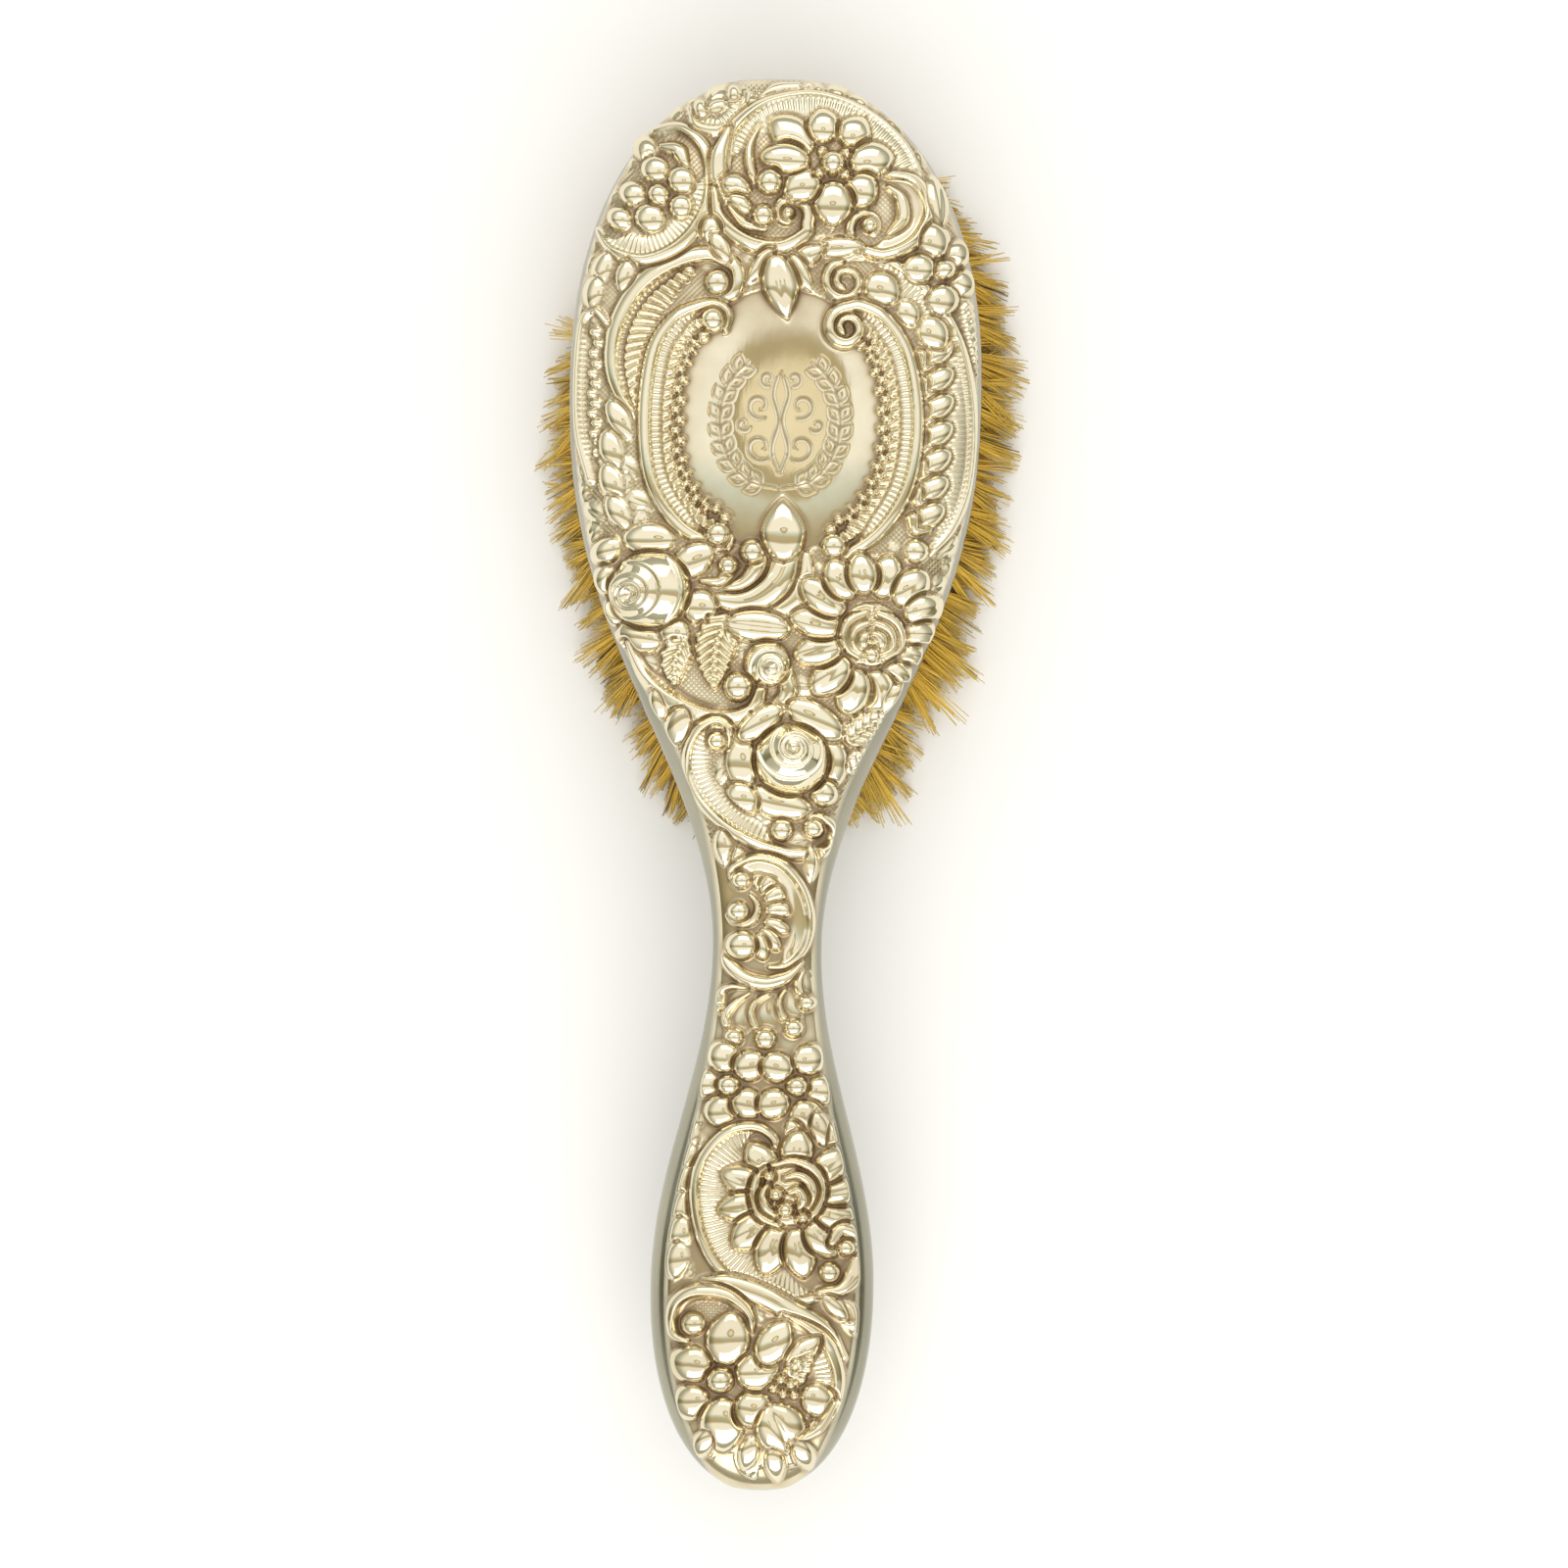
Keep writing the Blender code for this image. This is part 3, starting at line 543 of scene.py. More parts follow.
def emboss_frame(relief):
    """The scrolls that frame the shield."""
    outer = [(-10.6, 82.4), (-7.6, 83.4), (-7.6, 87.0), (-11.4, 88.7), (-17.0, 87.3), (-22.2, 83.6),
             (-25.8, 77.8), (-27.0, 71), (-25.6, 65.2), (-22.6, 61.0)]
    add_pleats(relief, outer[4:], 1, 0.8, 5.2, 1.7, 1.5)
    add_scroll(relief, outer, 1, 2.7, 1.2, 2.0, (0.5, 0.8, 1.0, 1.0, 0.9, 0.7, 0.4), (0.3, 0.95))
    add_bead(relief, -10.2, 84.8, 2.3, 2.0)
    outer = [(24.8, 38.2), (29.3, 43.6), (32, 52), (32.4, 63), (30.4, 74), (25.8, 82.5),
             (19.5, 88), (13.8, 89.6), (11, 89)] + list(curl(11.4, 85.2, 3.3, 100, 1.4))
    add_scroll(relief, outer, 1, 1.5, 4.4, 1.7, (0.5, 1.0, 1.0, 1.0, 0.9, 0.8, 0.6), (0.02, 0.72))
    for i in range(7):
        x, y = 27.2 - 0.08 * (i - 2) ** 2, 73.2 - 4.6 * i
        add_boss(relief, x, y, 218, 6.4, 3.6, 1.8, 0.2)
        add_tube(relief, [(x + 0.4, y - 2.2), (x - 2.2, y - 2.4), (x - 2.6, y - 0.2)], 0.8, 1.5,
                 (0.4, 1.0, 1.3))
    add_boss(relief, 26.4, 76.6, 300, 6.0, 4.6, 1.7, 0.4)
    add_boss(relief, 17.8, 84.0, 320, 6.4, 5.4, 2.0, 0.5)
    add_boss(relief, 22.2, 80.0, 300, 4.8, 3.6, 1.5, 0.5)
    add_bead(relief, 24.0, 39.8, 2.2, 1.9)
    inner = [(-8.9, 77), (-8.5, 79.6), (-10.6, 80.8), (-13.4, 80.2), (-17.2, 78), (-20.2, 72.6),
             (-21.4, 62), (-20.2, 51.4), (-15.6, 44.1), (-9.6, 40.4)]
    add_pleats(relief, inner[3:], 1, 1.4, 4.0, 1.9, 1.3)
    add_lobes(relief, inner[3:], 1, 3.6, 2.0, 1.9, 1.5)
    add_scroll(relief, inner, 1, 2.0, 2.0, 1.8, (0.5, 0.8, 1.0, 1.0, 1.0, 1.0, 0.8), (0.12, 0.97))
    add_bead(relief, -10.8, 78.4, 2.1, 2.1)
    add_bead(relief, -9.4, 42.2, 2.1, 2.0)
    inner = [(11.6, 38.8), (17.6, 43.5), (22.0, 51.4), (23.3, 62), (21.6, 72.6), (18.0, 78.4),
             (14.2, 80.6), (12.2, 80.4)] + list(curl(11.8, 77.4, 2.9, 95, 1.35))
    add_pleats(relief, inner[:7], 1, 1.4, 4.0, 1.9, 1.3)
    add_lobes(relief, inner[:7], 1, 3.6, 2.0, 1.9, 1.5)
    add_scroll(relief, inner, 1, 1.9, 2.0, 1.8, (0.8, 1.0, 1.0, 1.0, 1.0, 0.8, 0.6), (0.02, 0.76))
    add_bead(relief, 10.2, 40.4, 2.2, 2.0)
    edge = [(-28.6, 77.6), (-30.6, 79.6), (-32.4, 77), (-33, 68), (-32.6, 59), (-30.6, 51)]
    add_lobes(relief, edge[2:], 1, 0.9, 2.0, 1.8, 1.2)
    add_scroll(relief, edge, 1, 0.9, 1.2, 1.3, (0.8, 1.0, 1.0), (0.2, 0.95))
    for x, y, angle, length in ((-26.2, 61.2, 300, 7.5), (-27.6, 56, 285, 7), (-27.4, 50.4, 290, 7),
                                (-26.2, 45.5, 300, 6.5)):
        add_boss(relief, x, y, angle, length, 3.6, 1.5, 0.7)
    add_leaf(relief, [(31.2, 83), (33, 77), (34, 69)], 3.0, 1.0)


def emboss_head_top(relief):
    """The scrolls and flowers above the shield."""
    oval = [(-21.4, 109.6), (-16.6, 110.2), (-13, 107), (-11.9, 101.2), (-13.4, 95.7), (-17, 91.2),
            (-22.4, 88.8), (-27.6, 90.1), (-30, 93.4)]
    add_scroll(relief, oval, -1, 1.9, 3.6, 1.8, (0.5, 0.9, 1.0, 1.0, 1.0, 0.8, 0.5), (0.3, 0.98))
    add_tube(relief, [(-19.8, 107.4), (-17, 106.8), (-15.6, 103.6)], 1.5, 1.6)
    add_bosses(relief, (-20, 100), (
        (-22.6, 107.2, 4.6, 3.8), (-20.8, 103.6, 4.2, 4.4), (-16.4, 101.9, 4.4, 4.4),
        (-24.4, 99.4, 4.2, 4.0), (-16.4, 97.4, 3.8, 3.8), (-21.6, 95.4, 4.8, 4.8),
    ), 2.0, 0.0)
    add_bead(relief, -20.2, 99.4, 1.9, 2.1)
    add_bead(relief, -26.6, 95.2, 2.1, 2.2)
    small = [(-15, 113.8), (-13.8, 111.2), (-10, 110.6), (-7, 113), (-5.8, 116.4)]
    add_scroll(relief, small, 1, 1.3, 2.4, 1.4, (0.6, 1.0, 0.6))
    add_bead(relief, -13.2, 113.8, 1.4, 1.6)
    add_bead(relief, -7.8, 116.6, 1.2, 1.4)
    add_boss(relief, -10.6, 114.4, 20, 3.4, 1.8, 1.2)
    add_tube(relief, [(-4.4, 114.6), (-1, 117.4), (3, 118)], 0.9, 1.2, (0.3, 1, 0.6))
    add_bead(relief, 4.8, 117.2, 1.1, 1.2)
    top = [(-8.8, 103), (-7.8, 109.4), (-3.8, 113.8), (1.5, 115.8), (7.5, 116), (14.6, 113.4),
           (20.8, 108), (24.6, 100.8)]
    add_scroll(relief, top, -1, 1.5, 4.0, 1.8, (1.0, 1.2, 0.8, 0.6, 0.5, 0.5, 0.4), (0.04, 0.99))
    add_tube(relief, [(-8.6, 110.4), (-10.2, 105.6), (-9.6, 100.8), (-7.2, 98)], 1.6, 1.8,
             (0.4, 1.0, 1.1, 0.7))
    add_boss(relief, -7.2, 101.0, 340, 5.2, 3.6, 2.0, 0.6)
    add_boss(relief, -6.4, 97.8, 330, 5.0, 3.0, 1.8, 0.6)
    add_tube(relief, [(-3.4, 111.2), (-5.1, 107.2), (-4.4, 102.8), (-1.8, 100.8)], 0.9, 1.6,
             (0.4, 1.1, 0.8))
    volute = [(-10.9, 100.6), (-9.4, 95.7), (-5, 92.2), (0.2, 91.4), (4, 93.4)]
    add_scroll(relief, volute + list(curl(1.7, 96.4, 3.1, -30, 0.8)), 1, 2.0, 1.2, 2.1,
               (0.4, 1.0, 1.1, 1.0, 0.8, 0.5), (0.1, 0.6))
    add_tube(relief, [(-8.4, 97.6), (-5.6, 94.6), (-2.4, 94.2)], 0.9, 1.8, (0.4, 1.0, 0.9))
    add_bead(relief, -2.6, 96.2, 2.0, 2.1)
    add_bead(relief, 1.6, 96.6, 1.2, 2.0)
    volute = [(17.6, 103.2), (22.4, 101.8), (24.4, 97), (22.4, 92.4), (18, 90.2), (14.4, 90.9)]
    add_scroll(relief, volute + list(curl(15.2, 94.4, 3.4, -110, -0.8)), -1, 1.5, 3.2, 2.1,
               (0.7, 1.1, 1.2, 1.0, 0.7, 0.5), (0.0, 0.66), SMOOTH)
    add_tube(relief, [(18.4, 101.2), (20.4, 99.2), (20.8, 95.8), (18.6, 93.4)], 1.2, 1.9,
             (0.4, 1.0, 1.1, 0.5))
    add_bead(relief, 15.4, 94.8, 1.4, 2.0)
    add_tube(relief, [(9.2, 97), (9.4, 94.6), (8.6, 92.8)], 0.7, 1.3, (1, 0.6, 0.3))
    add_bosses(relief, (9, 105), (
        (1.9, 109.8, 8.6, 5.8), (7.3, 111.3, 5.6, 5.2), (12.6, 110.2, 5.4, 5.4),
        (15.6, 105.7, 7.2, 5.6), (13.9, 100.4, 5.8, 5.8), (9.2, 98.2, 7.4, 6.2),
        (3.8, 101.3, 6.6, 5.6), (0.9, 105.7, 8.2, 4.8),
    ), 2.5, 0.45)
    add_bead(relief, -1.6, 101.8, 2.3, 2.4)
    for angle in (40, 130, 215, 320):
        turn = math.radians(angle)
        add_boss(relief, 9 + 2.5 * math.cos(turn), 105 + 2.5 * math.sin(turn), angle,
                 2.8, 1.9, 2.0, 0.9)
    add_bead(relief, 9, 105, 2.1, 2.9)
    add_boss(relief, 10.4, 91.0, 5, 8.0, 3.4, 1.5, 0.4)
    add_boss(relief, 5.2, 89.6, 30, 6.2, 3.2, 1.6, 0.6)
    add_boss(relief, 4.0, 86.6, 300, 7.0, 2.8, 1.5, 0.6)
    add_boss(relief, -2.9, 87.8, 235, 7.0, 2.8, 1.4, 0.6)
    add_boss(relief, -11.4, 93.8, 90, 4.2, 3.2, 1.5, 0.2)
    add_boss(relief, -9.6, 90.6, 300, 5.6, 2.8, 1.2, 0.6)
    add_boss(relief, 0.6, 84.2, 282, 10.8, 5.6, 2.4, 1.0, 0.2)
    add_bosses(relief, (28, 87.4), (
        (26.3, 92.4, 5.8, 4.6), (30.8, 90.4, 4.8, 4.2), (31.6, 85.2, 5.0, 4.2),
        (27.8, 82.2, 5.2, 4.8), (23.8, 87.6, 5.2, 4.6),
    ), 1.9, 0.2)
    add_bead(relief, 28, 87.4, 1.8, 2.2)
    add_boss(relief, 26.6, 99, 280, 8.6, 3.4, 1.3, 0.7, 0.2)
    for x, y, angle, length in ((-29.6, 86.6, 250, 6), (-25.8, 85.6, 255, 5.5), (-31, 82.6, 260, 5.5)):
        add_boss(relief, x, y, angle, length, 3.0, 1.3, 0.6)


def emboss_head_foot(relief):
    """The roses, chrysanthemum and foliage between the shield and the throat."""
    add_tube(relief, [(5.6, 38.6), (5.4, 34), (1.8, 30.2), (-4, 28.8)], 2.0, 1.5, (0.5, 1.1, 1.0, 0.4))
    add_tube(relief, [(2.4, 39.5), (0.8, 34.6), (-4, 31.0), (-11, 31.2)], 2.5, 2.1,
             (0.9, 1.2, 1.0, 0.4))
    add_tube(relief, [(-10, 33.2), (-5.6, 33.6), (-2.8, 36.4), (-2.8, 39.6)], 1.4, 1.9,
             (0.4, 0.8, 1.2, 1.2))
    add_tube(relief, [(-12, 34.2), (-8.8, 34.2), (-7.2, 36.8)], 1.2, 1.7, (0.4, 0.9, 1.3))
    add_bead(relief, -3.5, 39.2, 2.1, 2.2)
    add_bead(relief, -7.6, 36.8, 1.7, 2.0)
    add_boss(relief, 1.6, 43, 92, 10.4, 6.8, 2.4, 1.0)
    add_bosses(relief, (-21, 32.5), (
        (-21, 41.2, 5.4, 8.0), (-13.6, 37.6, 8.0, 5.2), (-12.2, 29.8, 5.8, 5.4),
        (-16.4, 25.2, 5.2, 4.8), (-23, 24.6, 5.0, 8.0), (-28, 39, 4.2, 5.2), (-28.4, 34.0, 3.8, 5.2),
        (-27.4, 28.4, 3.8, 5.0),
    ), 2.0, 0.1)
    add_rose(relief, -20.4, 32.6, 6.6, 4.0, -22.9, 31.9)
    add_leaf(relief, [(-7.0, 28.4), (-9.4, 23.5), (-9.6, 16)], 8.0, 1.8)
    add_leaf(relief, [(-14.6, 24.4), (-16.2, 20.8), (-16, 16.4)], 5.4, 1.6)
    add_boss(relief, -2.4, 26.6, 355, 10.4, 5.2, 2.1, 0.0, 0.3)
    sickle = [(-24, 24), (-20.4, 18.4), (-15.6, 14.6), (-9.4, 12), (-4, 12.8), (-2.0, 16.6)]
    add_scroll(relief, sickle, 1, 2.6, 1.0, 2.3, (0.2, 0.7, 1.1, 1.2, 1.0, 0.6), (0.2, 0.5))
    add_tube(relief, [(1.8, 19.6), (2.8, 15.6), (0.2, 12.2), (-3.6, 10.6)], 1.7, 2.0, (1, 1, 0.4))
    add_rose(relief, -0.8, 20.4, 3.9, 3.0, 0.0, 19.8)
    add_bead(relief, -5.6, 16.4, 2.6, 2.6)
    add_bosses(relief, (16.6, 25.4), (
        (19, 35.4, 7.4, 5.2), (23.2, 33.6, 7.4, 5.2), (25.4, 30.0, 6.8, 5.0), (25.8, 25.6, 6.8, 4.8),
        (24.8, 21.2, 7.0, 5.0), (22, 17.6, 7.4, 5.2), (18, 15.6, 7.8, 5.4), (13.6, 15.8, 7.8, 5.4),
        (9.8, 18.4, 8.0, 5.4), (7.8, 22.8, 8.4, 5.2), (7.4, 27.4, 8.8, 5.0), (8.4, 31.8, 8.8, 5.2),
        (11.4, 34.8, 7.4, 5.2), (15, 35.8, 7.0, 4.8),
    ), 2.4, 0.3, 0.12)
    add_aster_heart(relief, 16.7, 25.6, 5.5, 2.3)
    scroll = [(-7.4, 6.8), (-7.2, 9.6), (-9.4, 10.6), (-12, 8.6), (-13.2, 5), (-12.6, 0.6), (-9.8, -4),
              (-5.2, -8), (1.4, -10.8), (6.9, -11.2)] + list(curl(7.6, -7.6, 3.2, -70, 0.6))
    add_bosses(relief, (3.4, 4.2), (
        (-4.8, 3.4, 5.4, 8.0), (1.4, -3.2, 5.4, 10.4), (10.4, 3.4, 5.0, 7.8), (7.6, 11, 5.4, 9.8),
        (-1.8, 10.4, 4.4, 8.2), (-4.6, -2.6, 5.0, 5.6),
    ), 2.1, 0.1)
    add_scroll(relief, scroll, 1, 1.5, 3.2, 2.0, (0.5, 0.9, 1.0, 1.0, 1.2, 1.2, 0.8), (0.12, 0.72))
    add_bead(relief, -9.0, 7.2, 1.7, 2.0)
    add_bead(relief, 2.1, -7.8, 2.0, 2.2)
    add_bead(relief, 9.0, -1.4, 2.4, 2.3)
    add_bead(relief, 7.2, -7.4, 1.7, 2.1)
    add_rose(relief, 3.5, 4.2, 6.2, 4.0, 3.8, 6.4, -1)
    add_leaf(relief, [(12.8, 7.2), (15.6, 10), (19.2, 12.6)], 5.4, 1.5)
    add_leaf(relief, [(13.0, 2.0), (14.9, 4.2), (16.8, 6.6)], 4.0, 1.4)
    for x, y, angle, length, width in ((-18.8, 12.8, 280, 6.5, 2.6), (-15.8, 9, 250, 8.5, 4.0),
                                       (-13.8, -2.4, 280, 6, 2.4), (-7.6, -10.8, 275, 6, 2.8),
                                       (-4.8, -13.2, 280, 5, 2.4), (20.4, 15, 240, 6, 3.0)):
        add_boss(relief, x, y, angle, length, width, 1.4, 0.7)


def emboss_neck(relief):
    """The fan of lobes, small scroll and fronds on the neck."""
    for i in range(7):
        angle = 80 - 26 * i
        turn = math.radians(angle)
        add_boss(relief, -2.0 + 3.9 * math.cos(turn), -21.6 + 6.2 * math.sin(turn),
                 angle, 4.6, 2.6, 1.7, 0.1)
    rim = [(-5.8, -16.5), (-5.6, -14.2), (-2.0, -12.6), (2.0, -13.6), (4.8, -16.8), (6.1, -20.6),
           (6.3, -24.4), (5.4, -28.0), (3.2, -30.6), (0.4, -31.2)]
    add_scroll(relief, rim, -1, 1.1, 2.4, 2.0, (0.5, 0.9, 1.1, 1.1, 1.1, 1.0, 0.2), (0.05, 0.97), SMOOTH)
    add_tube(relief, list(curl(-4.4, -21.4, 2.9, 60, -0.6, 0.8)), 0.8, 1.6)
    add_bead(relief, -4.4, -16.4, 1.6, 1.9)
    add_bead(relief, -4.8, -21.6, 1.8, 2.1)
    add_tube(relief, [(-6.2, -27.4), (-6.2, -30.4), (-3.5, -33), (0, -33.8), (3.4, -32.6), (5.6, -30.2)],
             1.3, 1.9, (0.6, 1.0, 1.2, 1.0, 0.4))
    add_bead(relief, -4.2, -27.4, 2.6, 2.2)
    fronds = (
        ([(-3.5, -34.6), (-5.8, -34.5), (-7.1, -35.4), (-7.3, -37.2), (-6.9, -38.6)], 0.8),
        ([(-2.7, -35.5), (-5.2, -37.4), (-6.4, -39.6), (-6.0, -41.6), (-5.2, -43.0)], 1.6),
        ([(0.4, -35.6), (-1.8, -37.1), (-2.4, -39.3), (-1.5, -41.5), (-0.1, -43.2)], 1.9),
        ([(3.1, -34.8), (2.1, -36.7), (2.3, -38.7), (3.4, -40.2), (4.5, -41.3)], 1.7),
        ([(5.7, -31.6), (5.0, -33.5), (5.1, -35.0), (5.7, -36.2), (6.5, -37.0)], 1.5),
    )
    for lip, end in fronds:
        (x0, y0), (x1, y1) = lip[0], lip[-1]
        angle = math.degrees(math.atan2(y1 - y0, x1 - x0))
        add_boss(relief, (x0 + x1) / 2 + 0.3, (y0 + y1) / 2, angle, math.hypot(x1 - x0, y1 - y0),
                 2.2 * end, 0.7, 0.0)
        add_tube(relief, lip, 0.62, 1.6, (0.5, 1.0, 1.2, 1.0))
        add_bead(relief, *lip[-1], end, 2.0)
    add_boss(relief, 7, -13.4, 270, 5.4, 1.8, 1.0, 0.7)


def emboss_bulb(relief):
    """The flowers and scrolls on the handle's bulb."""
    for x, petals in ((-6.0, ((-7, -46.4), (-10.3, -50.9), (-7.4, -55.6), (-2.9, -54.2), (-2.6, -47.8))),
                      (5.2, ((1.9, -48), (7.2, -46.6), (9.6, -51.8), (6.8, -56.2), (1.4, -54.2)))):
        add_bosses(relief, (x, -51.2), [(px, py, 5.4, 4.9) for px, py in petals], 2.1, 0.0)
        add_bead(relief, x, -51.2, 1.9, 2.4)
    for i in range(6):
        add_boss(relief, -12.6 - 0.35 * i, -60 - 4.2 * i, 262, 6.2, 3.0 + 0.14 * i, 1.4, 0.6)
    for x, y, angle, length in ((9.4, -58.6, 290, 6.5), (12.2, -60.6, 280, 7), (5.2, -59.8, 290, 6)):
        add_boss(relief, x, y, angle, length, 3.2, 1.6, 0.4)
    rim = [(1.2, -63.4), (1.6, -60.4), (-1.6, -58.4), (-6, -59.4), (-9.4, -63.4), (-10.8, -68),
           (-10.6, -73), (-9.2, -78), (-6.6, -82), (-2.4, -85.2), (2, -86.8), (6.8, -87), (11.4, -85.2)]
    add_scroll(relief, rim, 1, 1.6, 4.8, 2.0, (0.6, 0.9, 1.0, 1.0, 1.1, 1.1, 0.9), (0.1, 0.96))
    add_bead(relief, -1.4, -62.2, 2.0, 2.1)
    add_bosses(relief, (4.4, -70.6), (
        (-0.4, -64.0, 7.4, 5.0), (-3.4, -67.4, 8.0, 4.8), (-3.6, -71.8, 8.2, 4.8),
        (-2.0, -76.0, 7.8, 5.4), (1.6, -79, 8.8, 5.4), (6.2, -79.4, 8.6, 5.2), (10, -77, 7.4, 5.2),
        (12.6, -73.2, 8.0, 5.0), (13, -68.6, 8.4, 4.8), (11.2, -64.2, 8.4, 4.8), (5.4, -62, 7.0, 5.0),
    ), 2.3, 0.4, 0.12)
    add_bead(relief, 4.1, -69.4, 5.7, 1.9)
    for petal in (
            [(2.6, -74.8), (-0.3, -73.3), (-1.5, -70.2), (-1.2, -67.0), (0.4, -65.4)],
            [(1.4, -64.6), (4.8, -63.8), (8.0, -65.2), (9.3, -68.1), (8.7, -71.9), (6.6, -74.2)],
            [(0.9, -67.4), (-0.1, -69.6), (0.4, -71.6), (2.0, -73.0)],
            [(3.6, -66.6), (5.7, -66.2), (7.5, -67.5), (7.9, -69.6), (7.2, -71.6)],
            [(4.2, -69.2), (5.6, -68.8), (6.4, -70.2), (5.9, -71.8)]):
        add_tube(relief, petal, 0.95, 1.9, (0.5, 1.0, 1.1, 0.7))
    for x, y, radius in ((0.9, -66.4, 1.1), (2.0, -69.4, 1.3), (3.6, -72.0, 1.5), (6.4, -73.3, 1.1)):
        add_bead(relief, x, y, radius, 2.4)
    add_tube(relief, [(9.6, -86), (13.6, -85), (16, -81), (15.8, -76.8), (13, -75.2), (11.4, -77.4)],
             1.6, 2.0, (0.5, 1.1, 1.1, 0.6))
    add_bead(relief, 13.8, -78.4, 1.5, 1.9)
    add_bead(relief, 11.2, -82.6, 1.9, 2.1)
    add_boss(relief, 15.2, -90.6, 300, 7.4, 3.4, 1.5, 0.6)
    add_boss(relief, 12.4, -88.6, 315, 6.0, 2.6, 1.3, 0.6)
    add_tube(relief, [(-12, -86), (-7, -84.8), (-1, -86.2), (5, -89.2), (10, -92.4), (13, -97)],
             2.0, 1.7, (0.6, 1.0, 1.0, 1.0, 1.0, 0.6))
    rim = [(-12.2, -94.4), (-14.2, -93.2), (-14.4, -90.8), (-13.7, -88.2), (-11.6, -86.6), (-8.7, -86.3),
           (-5.7, -86.9), (-3.1, -88.7), (-1.8, -90.8), (-2.0, -92.9)]
    add_scroll(relief, rim, -1, 1.8, 1.2, 2.1, (0.5, 0.9, 1.0, 1.0, 0.7, 0.4), (0.1, 0.9), SMOOTH)
    rim = [(3.6, -89.6), (6.8, -91.4), (9.6, -93.8), (11.3, -97.2), (12.0, -100.5), (11.4, -103.9),
           (9.8, -106.9), (6.9, -109.2), (3.9, -111.1)]
    add_scroll(relief, rim, -1, 2.1, 2.9, 2.0, (0.1, 0.6, 1.0, 1.0, 1.0, 0.9, 0.6), (0.16, 0.72))
    add_bead(relief, -11.4, -91.6, 2.2, 2.2)
    add_bosses(relief, (-6.7, -101), (
        (-5.6, -94.0, 9.2, 6.8), (-11.8, -98.4, 7.0, 6.0), (-11.6, -105, 6.2, 6.0),
        (-6.2, -108.6, 8.8, 6.8), (-1.0, -106, 6.6, 6.0), (-0.6, -99.6, 7.2, 6.0),
    ), 2.5, 0.45)
    add_bead(relief, -6.7, -101, 2.4, 3.1)
    add_boss(relief, 2.2, -94.6, 60, 8.4, 5.4, 2.2, 0.5)
    add_boss(relief, 7.2, -96.0, 45, 7.4, 3.6, 1.8, 0.6)
    add_leaf(relief, [(3.6, -102.6), (6.0, -99.6), (8.6, -96.4)], 4.6, 1.5, 2.3)
    for x, y in ((2.2, -102.4), (3.4, -100.8), (3.8, -103.2), (5.0, -101.6), (5.6, -103.4)):
        add_bead(relief, x, y, 0.95, 1.7)
    add_boss(relief, 3.4, -109.0, 120, 8.6, 7.6, 2.5, 0.2, 0.6)
    add_boss(relief, 9.6, -104.4, 300, 6.0, 5.0, 1.9, 0.3)
    add_tube(relief, [(5, -111.4), (9.6, -108.6), (12, -104.4)], 0.9, 1.7, (0.5, 1.0, 0.6))
    for x, y, angle in ((-9.6, -112, 240), (-1.8, -113.4, 255), (2.6, -115, 280), (7.4, -113.4, 300)):
        add_boss(relief, x, y, angle, 5.6, 3.2, 1.4, 0.5)


def blurred(values, sigma):
    """A Gaussian blur, sigma in millimetres."""
    spread = sigma / GRID
    reach = int(3 * spread) + 1
    kernel = np.exp(-0.5 * (np.arange(-reach, reach + 1) / spread) ** 2)
    kernel /= kernel.sum()
    for axis in (0, 1):
        values = np.apply_along_axis(np.convolve, axis, values, kernel, "same")
    return values


def make_relief():
    """All the ornament, with the ground between it and the tarnish in its recesses."""
    relief = Relief()
    emboss_ground(relief)
    emboss_shield(relief)
    emboss_frame(relief)
    emboss_head_top(relief)
    emboss_head_foot(relief)
    emboss_neck(relief)
    emboss_bulb(relief)
    x, y, half_x, half_y = SHIELD
    off_shield = np.hypot((relief.x[None] - x) / half_x, (relief.y[:, None] - y) / half_y) > 1
    ground = off_shield * (1 - smoothstep(0.2, 0.5, relief.height))
    punches = np.cos(2 * PI * relief.x / PUNCH_PITCH) * np.cos(2 * PI * relief.y[:, None] / PUNCH_PITCH)
    pocket_x, pocket_y, full, faded = PUNCHED_POCKET
    away = np.hypot(relief.x[None] - pocket_x, relief.y[:, None] - pocket_y)
    dotted = np.maximum(smoothstep(*PUNCHED_FROM, relief.y[:, None]), 1 - smoothstep(full, faded, away))
    relief.height += ground * (GROUND_LIFT + PUNCH_DEPTH * dotted * punches)
    relief.height = blurred(relief.height, PUNCH_BLUR)
    recess = blurred(relief.height, RECESS_BLUR) - relief.height
    low = 0.5 - blurred(relief.height, LOW_BLUR)
    relief.tarnish = smoothstep(*TARNISH_RANGE, recess + 0.3 * low)
    relief.tarnish = np.maximum(relief.tarnish, 0.75 * relief.engraved)
    return relief


def sampled(relief, values, x, y):
    """values at plan points, read off the grid in between its points."""
    i = np.clip((x - relief.x[0]) / GRID, 0, len(relief.x) - 1.001)
    j = np.clip((y - relief.y[0]) / GRID, 0, len(relief.y) - 1.001)
    i0, j0 = i.astype(int), j.astype(int)
    fi, fj = i - i0, j - j0
    lower = values[j0, i0] * (1 - fi) + values[j0, i0 + 1] * fi
    upper = values[j0 + 1, i0] * (1 - fi) + values[j0 + 1, i0 + 1] * fi
    return lower * (1 - fj) + upper * fj


# --------------------------------------------------------------------- meshes


